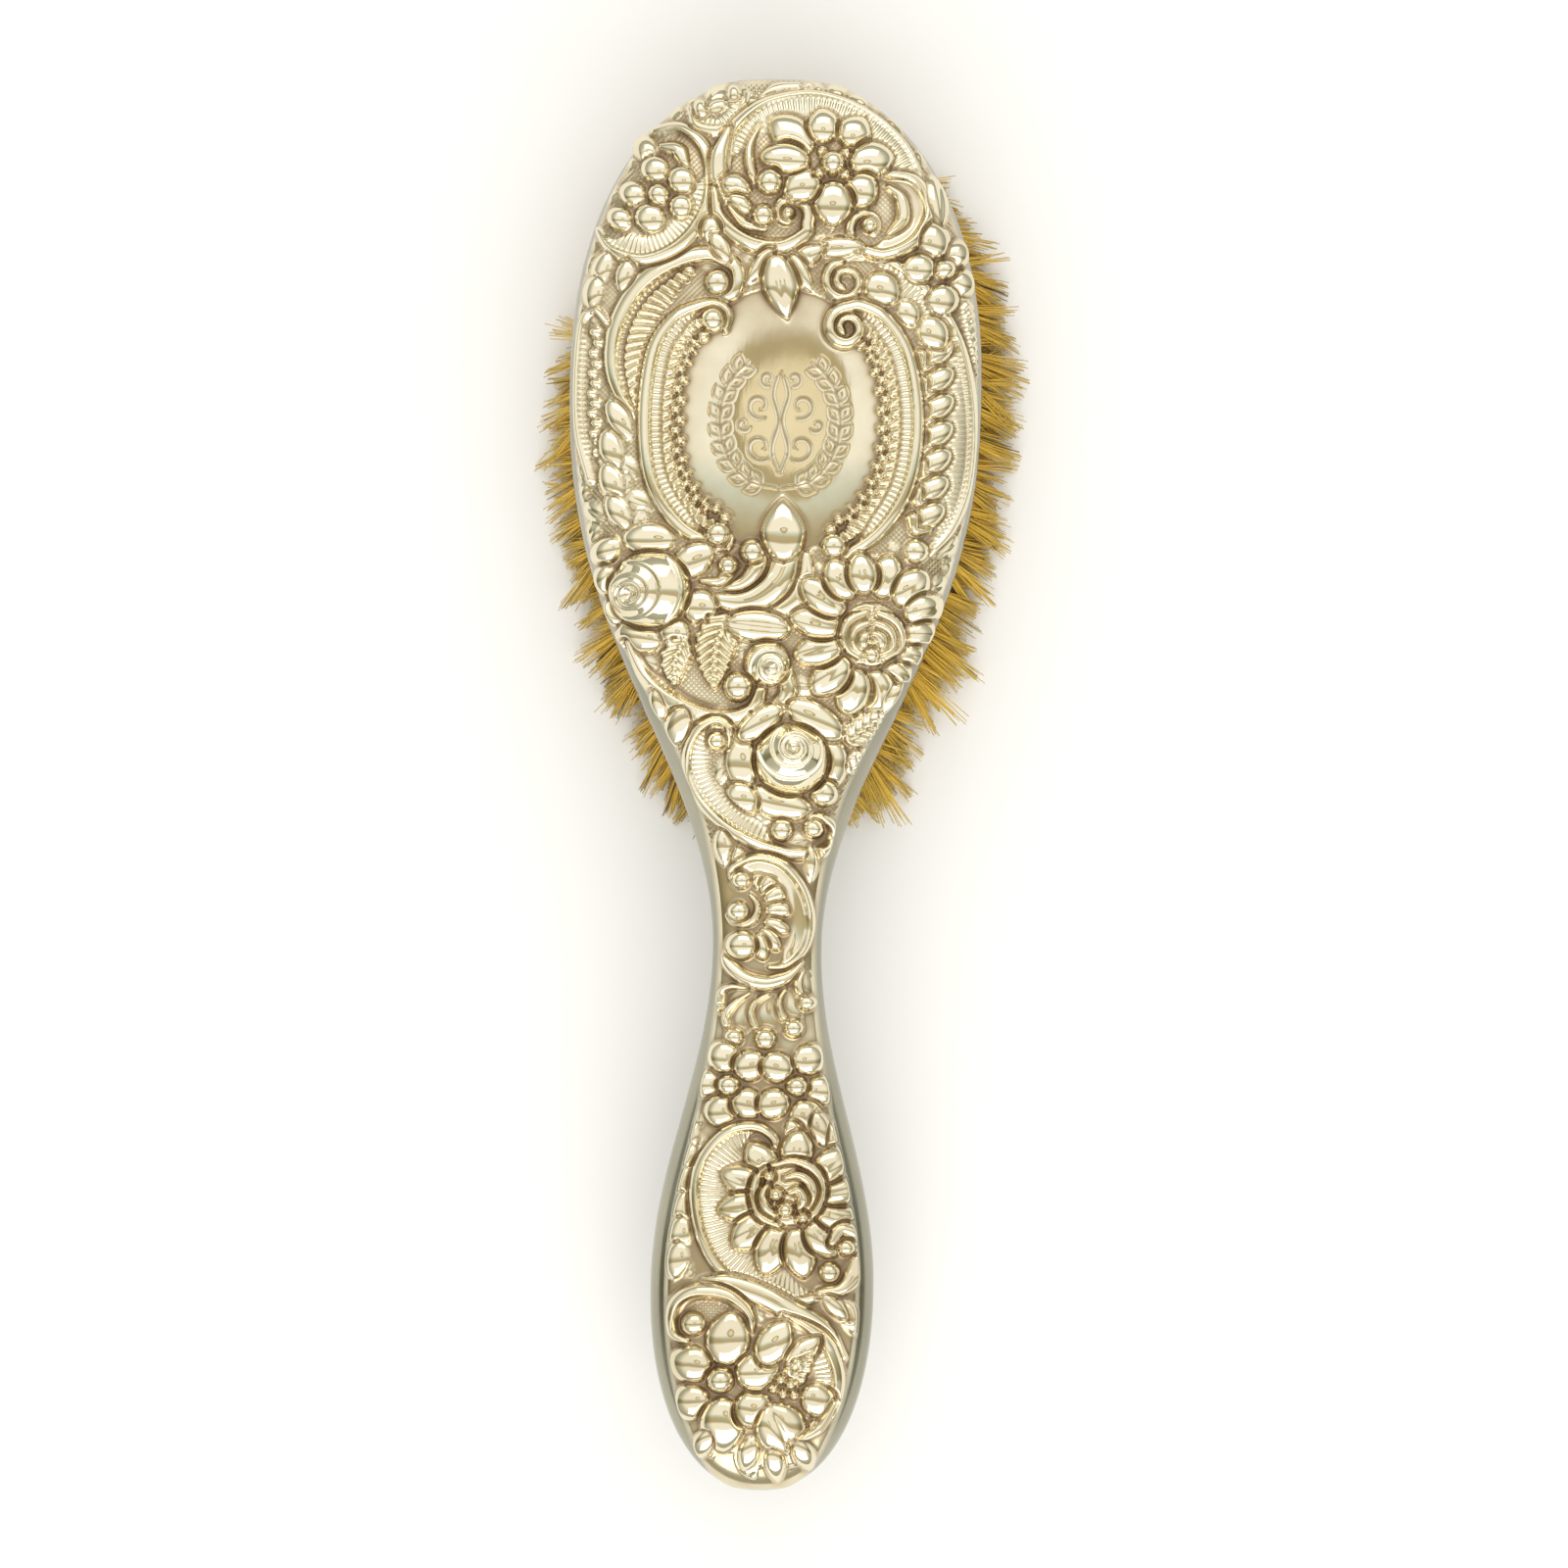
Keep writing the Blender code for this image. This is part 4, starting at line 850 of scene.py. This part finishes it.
def mesh_object(name, points, faces, material, attributes=None, uv=None):
    """A smooth-shaded object from arrays, points in millimetres."""
    mesh = bpy.data.meshes.new(name)
    mesh.from_pydata((points * MM).tolist(), [], faces)
    mesh.validate(clean_customdata=False)
    mesh.materials.append(material)
    for key, values in (attributes or {}).items():
        layer = mesh.attributes.new(key, "FLOAT", "POINT")
        layer.data.foreach_set("value", np.ascontiguousarray(values, np.float32))
    if uv is not None:
        layer = mesh.uv_layers.new(name=BAKE_MAP)
        corners = np.empty(len(mesh.loops), np.int32)
        mesh.loops.foreach_get("vertex_index", corners)
        layer.data.foreach_set("uv", uv[corners].astype(np.float32).ravel())
    mesh.shade_smooth()
    obj = bpy.data.objects.new(name, mesh)
    bpy.context.scene.collection.objects.link(obj)
    return obj


def show(piece, node):
    """Puts a piece in the place of a node of the solid model."""
    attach(piece, "root")
    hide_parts(node)


def normals_of(sheet):
    along = np.gradient(sheet, axis=0)
    over = np.gradient(sheet, axis=1)
    normal = np.cross(over, along)
    size = np.linalg.norm(normal, axis=2, keepdims=True)
    return normal / np.maximum(size, 1e-9)


def sheet_faces(rows, columns, start=0, flip=False):
    """Quads of a grid of points stored row by row."""
    i, j = np.meshgrid(np.arange(rows - 1), np.arange(columns - 1), indexing="ij")
    a = (start + i * columns + j).ravel()
    quads = np.stack([a, a + 1, a + columns + 1, a + columns], 1)
    return quads[:, ::-1] if flip else quads


def sheet_metal(outer, inner, flip):
    """Points and faces of a sheet from its two sides, closed along both long edges."""
    rows, columns = outer.shape[:2]
    inner_columns = inner.shape[1]
    start = rows * columns
    faces = [sheet_faces(rows, columns, 0, flip), sheet_faces(rows, inner_columns, start, not flip)]
    row = np.arange(rows - 1)
    for out_column, in_column, turned in ((0, 0, not flip), (columns - 1, inner_columns - 1, flip)):
        a = row * columns + out_column
        b = start + row * inner_columns + in_column
        wall = np.stack([a, b, b + inner_columns, a + columns], 1)
        faces.append(wall[:, ::-1] if turned else wall)
    return np.vstack([outer.reshape(-1, 3), inner.reshape(-1, 3)]), np.vstack(faces)


def map_strip(left, width, columns):
    """The flattened map of one side of the back, as a strip of the whole map."""
    across, down = np.meshgrid(np.linspace(0, 1, columns), np.linspace(0, 1, BACK_ROWS))
    return np.stack([left + width * across, 0.99 - 0.98 * down], 2).reshape(-1, 2)


def welded(name, points, faces, material, attributes, uv=None):
    """The object with each end's row of coincident points made one."""
    _, first, index = np.unique(np.round(points, 4), axis=0, return_index=True, return_inverse=True)
    index = index.reshape(-1)
    faces = index[faces]
    kept = []
    for face in faces.tolist():
        corners = list(dict.fromkeys(face))
        if len(corners) > 2:
            kept.append(corners)
    attributes = {key: values[first] for key, values in attributes.items()}
    return mesh_object(name, points[first], kept, material, attributes,
                       None if uv is None else uv[first])


def make_back(relief, material):
    """The embossed silver, worked on the outside and plain on the inside."""
    y, width = outline(0.0, BACK_ROWS)
    outer = arcs(y, width, crown(y, 0.0), BACK_COLUMNS)
    x, along = outer[..., 0], outer[..., 1]
    edge = width[:, None] - np.abs(x)
    ends = TIP_Y - np.abs(along)
    edge = np.minimum(edge, ends)
    on_head = smoothstep(2, 30, along)
    low = HANDLE_MARGIN[0] + (HEAD_MARGIN[0] - HANDLE_MARGIN[0]) * on_head
    high = HANDLE_MARGIN[1] + (HEAD_MARGIN[1] - HANDLE_MARGIN[1]) * on_head
    neck = smoothstep(6, 16, half_width(along))
    low, high = low * neck, low * neck + (high - low)
    worked = smoothstep(0, 1, (edge - low) / (high - low))
    nearer = (LAYOUT_EYE_Z - LAYOUT_Z) / (LAYOUT_EYE_Z - outer[..., 2] - MEAN_EMBOSSING)
    plan_x, plan_y = LAYOUT_EYE_X + (x - LAYOUT_EYE_X) * nearer, along * nearer
    height = sampled(relief, relief.height, plan_x, plan_y) * worked
    tarnish = sampled(relief, relief.tarnish, plan_x, plan_y) * worked
    outer = outer + normals_of(outer) * height[..., None]
    y_in, width_in = outline(SILVER, BACK_ROWS)
    inner = arcs(y_in, width_in, crown(y_in, SILVER), INNER_COLUMNS)
    points, faces = sheet_metal(outer, inner, False)
    flat_map = np.vstack([map_strip(0.01, 0.78, BACK_COLUMNS), map_strip(0.81, 0.18, INNER_COLUMNS)])
    tarnish += HANDLE_TARNISH * (1 - smoothstep(-60, -40, along)) * worked
    shade = np.concatenate([tarnish.ravel(), np.full(BACK_ROWS * INNER_COLUMNS, 0.5)])
    plain = np.concatenate([(1 - worked).ravel(), np.ones(BACK_ROWS * INNER_COLUMNS)])
    piece = welded("embossed_back", points, faces, material,
                   {"tarnish": shade, "plain": plain}, flat_map)
    show(piece, "silver_back")


def make_underside(material):
    """The plain lower half of the handle, cut round the end of the bristle block."""
    start_width = float(half_width(BLOCK_ROUND_START_Y)) - BLOCK_INSET
    sides = []
    for inset in (0.0, SILVER):
        y, width = outline(inset, UNDER_ROWS, UNDERSIDE_FRONT_Y)
        sheet = arcs(y, width, -depth(y, inset), UNDER_COLUMNS)
        reach = np.clip(np.abs(sheet[0, :, 0]) / start_width, 0, 1)
        arc = BLOCK_END_Y - GAP + (BLOCK_ROUND_START_Y - BLOCK_END_Y) * (1 - np.sqrt(1 - reach**2))
        front = np.minimum(arc, UNDERSIDE_FRONT_Y)
        pull = (1 - np.arange(UNDER_ROWS) / FRONT_ROWS).clip(0, 1)[:, None]
        sheet[..., 1] += (front[None] - UNDERSIDE_FRONT_Y) * pull
        sheet[..., 2] -= GAP
        sides.append(sheet)
    points, faces = sheet_metal(*sides, True)
    column = np.arange(UNDER_COLUMNS - 1)
    inner = UNDER_ROWS * UNDER_COLUMNS + column
    faces = np.vstack([faces, np.stack([column, column + 1, inner + 1, inner], 1)])
    attributes = {"tarnish": np.full(len(points), 0.1), "plain": np.ones(len(points))}
    piece = welded("plain_underside", points, faces, material, attributes)
    show(piece, "handle_underside")


def tuft_places(row):
    """Roots of one row's tufts, spaced along the row's own drawing wire."""
    x = (row - (ROWS - 1) / 2) * ROW_PITCH
    low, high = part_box(f"drawing_wire_{row + 1:02d}")
    low_y, high_y = low[1] / MM + TUFT_WIRE_REACH, high[1] / MM - TUFT_WIRE_REACH
    count = int(round((high_y - low_y) / TUFT_PITCH)) + 1
    return [(x, low_y + i * TUFT_PITCH) for i in range(count)]


def splay(x, y):
    """How far the tip of the tuft rooted at x, y leans out, and how near the rim it is.

    The outermost tufts lean till they stand out past the silver, and towards the handle.
    """
    inset = float(half_width(y)) - abs(x)
    rim = float(1 - smoothstep(*RIM_BAND, inset))
    side = 0 if x < 0 else 1
    start = FRINGE_START[side]
    fringe = FRINGE[side] - THROAT_FRINGE_LOSS * float(1 - smoothstep(0, THROAT_FRINGE_END, y))
    tucked = float(smoothstep(start, start + TUCK_RUN, y))
    out = rim * (inset + fringe) * (1 - TUCK * tucked) + (1 - rim) * INNER_LEAN * abs(x) / HEAD_HALF_WIDTH
    low = float(1 - smoothstep(*DROOP_RISE, y))
    droop = FRINGE_DROOP * rim * (1 - tucked) * (0.5 + low)
    throat = THROAT_SPLAY * float(1 - smoothstep(0, THROAT_SPLAY_END, y)) * (1 - rim)
    return np.array((math.copysign(out, x), -droop - throat)), rim


def add_hair(points, root, tip, tip_z, bow):
    """One tapered, slightly bent bristle."""
    for step in range(HAIR_STEPS + 1):
        t = step / HAIR_STEPS
        middle = root + (tip - root) * t**1.35 + bow * t * (1 - t) * 1.5
        z = HAIR_ROOT_Z + (tip_z - HAIR_ROOT_Z) * t
        radius = HAIR_RADIUS * (1 - 0.5 * t**2)
        for side in range(HAIR_SIDES):
            angle = side * 2 * PI / HAIR_SIDES
            points.append((middle[0] + radius * math.cos(angle),
                           middle[1] + radius * math.sin(angle), z))


def hair_faces(begin):
    """The faces of a hair whose points start at begin."""
    faces = []
    for step in range(HAIR_STEPS):
        for side in range(HAIR_SIDES):
            a = begin + step * HAIR_SIDES + side
            b = begin + step * HAIR_SIDES + (side + 1) % HAIR_SIDES
            faces.append((a, a + HAIR_SIDES, b + HAIR_SIDES, b))
    last = begin + HAIR_STEPS * HAIR_SIDES
    faces.append(tuple(range(begin, begin + HAIR_SIDES)))
    faces.append(tuple(range(last + HAIR_SIDES - 1, last - 1, -1)))
    return faces


def make_bristles(row, material):
    """One row of tufts. Each tuft parts into locks, and each lock into single bristles."""
    rng = np.random.default_rng(SEED + row)
    points, faces, lengthwise, tone_and_shade = [], [], [], []
    hair_length = np.repeat(np.linspace(0, 1, HAIR_STEPS + 1), HAIR_SIDES)
    for x, y in tuft_places(row):
        lean, rim = splay(x, y)
        locks = LOCKS_PER_TUFT + int(RIM_LOCKS * rim)
        for lock in range(locks):
            turn = 2 * PI * lock / locks + rng.uniform(0, 1)
            heading = np.array((math.cos(turn), math.sin(turn))) * math.sqrt(rng.uniform(0, 1))
            lock_root = np.array((x, y)) + heading * LOCK_ROOT_SPREAD
            stretch = rng.uniform(*RIM_STRETCH) if rim > 0.5 else rng.normal(1.0, INNER_STRETCH_SPREAD)
            lock_tip = np.array((x, y)) + lean * stretch + heading * LOCK_TIP_SPREAD
            lock_tip += rng.normal(0, 1, 2) * (0.5 + 0.5 * rim, 0.5 + 2.6 * rim)
            lock_z = LOWEST_TIP + RIM_TIP_RISE * rim * rng.uniform(0, 1) ** 2
            lock_tone_and_shade = rng.uniform(0, 1)
            bow = rng.normal(0, LOCK_BOW, 2)
            for _ in range(HAIRS_PER_LOCK):
                root = lock_root + rng.normal(0, HAIR_ROOT_SPREAD, 2)
                tip = lock_tip + rng.normal(0, HAIR_TIP_SPREAD + 0.1 * rim, 2)
                tip_z = lock_z + abs(rng.normal(0, TIP_RISE_SPREAD))
                faces += hair_faces(len(points))
                add_hair(points, root, tip, tip_z, bow)
                lengthwise.append(hair_length)
                # a random value per hair: its lowest values give painted shade, the rest a real variation
                # in tone
                hair_tone_and_shade = LOCK_TONE_AND_SHADE * lock_tone_and_shade + HAIR_TONE_AND_SHADE * rng.uniform(0, 1)
                tone_and_shade.append(np.full(len(hair_length), hair_tone_and_shade))
    attributes = {"lengthwise": np.concatenate(lengthwise), "tone_and_shade": np.concatenate(tone_and_shade)}
    piece = mesh_object(f"bristles_{row + 1:02d}", np.array(points), faces, material, attributes)
    show(piece, f"bristle_row_{row + 1:02d}")


# ------------------------------------------------------------------ materials


class Nodes:
    """The node tree of a material or of the world, with short ways to add to it."""

    def __init__(self, owner, end, coordinates):
        owner.use_nodes = True
        self.owner = owner
        self.tree = owner.node_tree
        self.end = self.tree.nodes[end]
        self.place = self.tree.nodes.new("ShaderNodeTexCoord").outputs[coordinates]

    def feed(self, value, socket):
        """Links an output to a socket, or sets the socket to a plain value."""
        if isinstance(value, bpy.types.NodeSocket):
            self.tree.links.new(value, socket)
        else:
            socket.default_value = value

    def attribute(self, name):
        node = self.tree.nodes.new("ShaderNodeAttribute")
        node.attribute_name = name
        return node.outputs["Fac"]

    def mapped(self, scale, location=(0, 0, 0)):
        node = self.tree.nodes.new("ShaderNodeMapping")
        node.inputs["Location"].default_value = location
        node.inputs["Scale"].default_value = scale
        self.feed(self.place, node.inputs["Vector"])
        return node.outputs["Vector"]

    def noise(self, scale, detail=4.0, stretch=(1, 1, 1)):
        node = self.tree.nodes.new("ShaderNodeTexNoise")
        node.inputs["Scale"].default_value = scale
        node.inputs["Detail"].default_value = detail
        self.feed(self.mapped(stretch), node.inputs["Vector"])
        return node.outputs["Fac"]

    def math(self, operation, *values):
        node = self.tree.nodes.new("ShaderNodeMath")
        node.operation = operation
        for value, socket in zip(values, node.inputs):
            self.feed(value, socket)
        return node.outputs[0]

    def ramp(self, value, stops):
        """stops are (position, colour) or (position, grey)."""
        node = self.tree.nodes.new("ShaderNodeValToRGB")
        elements = node.color_ramp.elements
        while len(elements) < len(stops):
            elements.new(1.0)
        for element, (position, colour) in zip(elements, stops):
            element.position = position
            rgb = (colour,) * 3 if isinstance(colour, (int, float)) else colour
            element.color = (*rgb, 1.0)
        self.feed(value, node.inputs["Fac"])
        return node.outputs["Color"]

    def mix(self, blend, a, b, factor=1.0):
        node = self.tree.nodes.new("ShaderNodeMix")
        node.data_type = "RGBA"
        node.blend_type = blend
        for name, value in (("Factor", factor), ("A", a), ("B", b)):
            self.feed(value, node.inputs[name])
        return node.outputs["Result"]

    def bump(self, value, distance, strength=0.5):
        node = self.tree.nodes.new("ShaderNodeBump")
        node.inputs["Strength"].default_value = strength
        node.inputs["Distance"].default_value = distance
        self.feed(value, node.inputs["Height"])
        self.feed(node.outputs["Normal"], self.end.inputs["Normal"])

    def colour(self, source):
        self.feed(source, self.end.inputs["Base Color"])

    def roughness(self, source):
        self.feed(source, self.end.inputs["Roughness"])


def new_surface(name, metallic=0.0):
    """The nodes of a new material, a metal if metallic is 1."""
    nodes = Nodes(bpy.data.materials.new(name), "Principled BSDF", "Object")
    nodes.end.inputs["Metallic"].default_value = metallic
    return nodes


def silver_material():
    """Old silver: polished where cloths reach, brown where they don't, dull on the plain sides, whose
    darker grey colour is painted shade of their slopes.
    """
    n = new_surface("old_silver", 1.0)
    cloud = n.math("SUBTRACT", n.noise(CLOUD_SCALE, 6.0), 0.5)
    recess = n.attribute("tarnish")
    blotch = n.math("MULTIPLY", cloud, n.math("MULTIPLY", n.math("ADD", recess, 0.2), BLOTCHES))
    drift = n.math("MULTIPLY", n.math("SUBTRACT", n.noise(DRIFT_SCALE, 3.0), 0.5), DRIFT)
    level = n.math("ADD", n.math("ADD", recess, blotch), drift)
    worked = n.ramp(level, ((0.0, POLISHED), (0.3, RUBBED), (0.6, BROWNED), (1.0, BLACKENED)))
    # painted shade: the plain sides take a darker grey, streaked along the brush
    plain = n.ramp(n.noise(60.0, 5.0, (1.0, 0.4, 1.0)), ((0.35, PLAIN_SHADE_DARK), (0.65, PLAIN_SHADE_LIGHT)))
    n.colour(n.mix("MIX", worked, plain, n.attribute("plain")))
    dull = n.math("ADD", level, n.math("MULTIPLY", n.attribute("plain"), PLAIN_DULLNESS))
    n.roughness(n.ramp(n.math("ADD", dull, n.math("MULTIPLY", cloud, 0.15)), SILVER_ROUGHNESS))
    scratches = n.noise(SCRATCH_SCALE, 3.0, (1.0, 0.25, 1.0))
    n.bump(scratches, 0.00002, 0.35)
    return n.owner


def bristle_material():
    """Golden bristle, with painted shade darkening it down in the tuft and on its darkest hairs."""
    n = new_surface("golden_bristle")
    # painted shade: darker towards the roots, down in the tuft
    base = n.ramp(n.attribute("lengthwise"), (
        (0.0, BRISTLE_ROOT_SHADE), (0.35, BRISTLE_LOW), (0.8, BRISTLE_HIGH), (1.0, BRISTLE_TIP),
    ))
    # painted shade: the lowest values turn hairs near black for the shadowed gaps between them; higher
    # values vary the tone
    shade = n.ramp(n.attribute("tone_and_shade"), ((0.08, BRISTLE_SHADE), (0.22, 0.8), (0.7, 1.0)))
    n.colour(n.mix("MULTIPLY", base, shade))
    n.roughness(n.ramp(n.attribute("tone_and_shade"), ((0.0, 0.5), (1.0, 0.36))))
    return n.owner


def wood_material():
    """Close-grained wood, its grain along the brush."""
    n = new_surface("pear_wood_grain")
    grain = n.noise(420.0, 8.0, (1.0, 0.07, 1.0))
    n.colour(n.ramp(grain, ((0.3, WOOD_DARK), (0.5, WOOD_MID), (0.7, WOOD_LIGHT))))
    n.roughness(n.ramp(grain, ((0.3, 0.62), (0.7, 0.42))))
    n.bump(grain, 0.00008)
    return n.owner


def mottled_material(name, dark, light, scale, rough, metallic):
    """A plain stuff with a fine mottle in its colour, shine and surface."""
    n = new_surface(name, metallic)
    mottle = n.noise(scale, 6.0)
    n.colour(n.ramp(mottle, ((0.3, dark), (0.7, light))))
    n.roughness(n.ramp(mottle, ((0.3, rough + 0.1), (0.7, rough - 0.08))))
    n.bump(mottle, 0.00005)
    return n.owner


def dress_hidden_nodes():
    """Finishes for the pieces that keep the solid model's own shape."""
    wood = wood_material()
    pitch = mottled_material("set_pitch", PITCH_DARK, PITCH_LIGHT, 300, 0.5, 0.0)
    iron = mottled_material("grey_iron", IRON_DARK, IRON_LIGHT, 500, 0.5, 1.0)
    brass = mottled_material("drawn_brass", BRASS_DARK, BRASS_LIGHT, 700, 0.3, 1.0)
    dress = {"bristle_block": wood, "backing_board": wood, "head_cement": pitch,
             "handle_cement": pitch, "handle_rod": iron}
    for name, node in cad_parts.items():
        if name.startswith(("drawing_wire", "block_pin")):
            dress[name] = brass
        if name in dress:
            node.data.materials.clear()
            node.data.materials.append(dress[name])


# ---------------------------------------------------------------------- stage


def make_floor():
    mesh = bpy.data.meshes.new("floor")
    half = FLOOR_HALF_WIDTH
    mesh.from_pydata([(-half, -half, 0), (half, -half, 0), (half, half, 0), (-half, half, 0)],
                     [], [(0, 1, 2, 3)])
    n = new_surface("white_floor")
    n.colour(n.ramp(n.noise(3.0), ((0.0, 0.92), (1.0, 0.94))))
    n.roughness(0.9)
    mesh.materials.append(n.owner)
    floor = bpy.data.objects.new("floor", mesh)
    bpy.context.scene.collection.objects.link(floor)


def add_softbox(name, place, power, colour):
    light = bpy.data.lights.new(name, "AREA")
    light.shape = "RECTANGLE"
    light.size, light.size_y = SOFTBOX_SIZE
    light.energy = power
    light.color = colour
    obj = bpy.data.objects.new(name, light)
    obj.location = place
    obj.rotation_euler = (Vector(LIGHTS_AIM) - Vector(place)).to_track_quat("-Z", "Y").to_euler()
    bpy.context.scene.collection.objects.link(obj)


def make_lights():
    """Soft light from all round, with two softboxes, and a dim opening and beam overhead."""
    add_softbox("front_softbox", (0.1, -1.1, 0.8), 8.5, (1.0, 1.0, 0.99))
    add_softbox("back_softbox", (0.0, 1.2, 0.9), 4.5, (1.0, 0.98, 0.93))
    world = bpy.data.worlds.new("studio")
    bpy.context.scene.world = world
    n = Nodes(world, "Background", "Generated")
    heading = n.tree.nodes.new("ShaderNodeSeparateXYZ")
    n.feed(n.place, heading.inputs["Vector"])
    walls = n.ramp(heading.outputs["Z"], WALLS)
    away = n.tree.nodes.new("ShaderNodeVectorMath")
    away.operation = "LENGTH"
    n.feed(n.mapped(OPENING_SCALE, OPENING_OFFSET), away.inputs[0])
    opening = n.ramp(away.outputs["Value"], OPENING)
    beam = n.ramp(n.math("MULTIPLY_ADD", heading.outputs["Y"], 0.5, 0.5), BEAM)
    room = n.mix("MULTIPLY", walls, n.mix("DARKEN", beam, opening))
    seen = n.tree.nodes.new("ShaderNodeLightPath").outputs["Is Camera Ray"]
    n.feed(n.mix("MIX", room, BACKDROP, seen), n.end.inputs["Color"])
    n.end.inputs["Strength"].default_value = ROOM_LIGHT


def make_camera():
    """Straight above the brush, turned a touch so that it leans to the right."""
    camera = bpy.data.cameras.new("camera")
    camera.sensor_width = 36.0
    camera.lens = CAMERA_LENS
    camera.clip_start = 0.01
    camera.shift_x = CAMERA_SHIFT
    obj = bpy.data.objects.new("camera", camera)
    turn = Matrix.Rotation(math.radians(CAMERA_TURN), 4, "Z")
    obj.matrix_world = Matrix.Translation(CAMERA_PLACE) @ turn
    bpy.context.scene.collection.objects.link(obj)
    bpy.context.scene.camera = obj
    bpy.context.scene.view_settings.view_transform = "Standard"


def main():
    make_camera()
    make_lights()
    make_floor()
    silver = silver_material()
    make_back(make_relief(), silver)
    make_underside(silver)
    bristle = bristle_material()
    for row in range(ROWS):
        make_bristles(row, bristle)
    dress_hidden_nodes()


main()
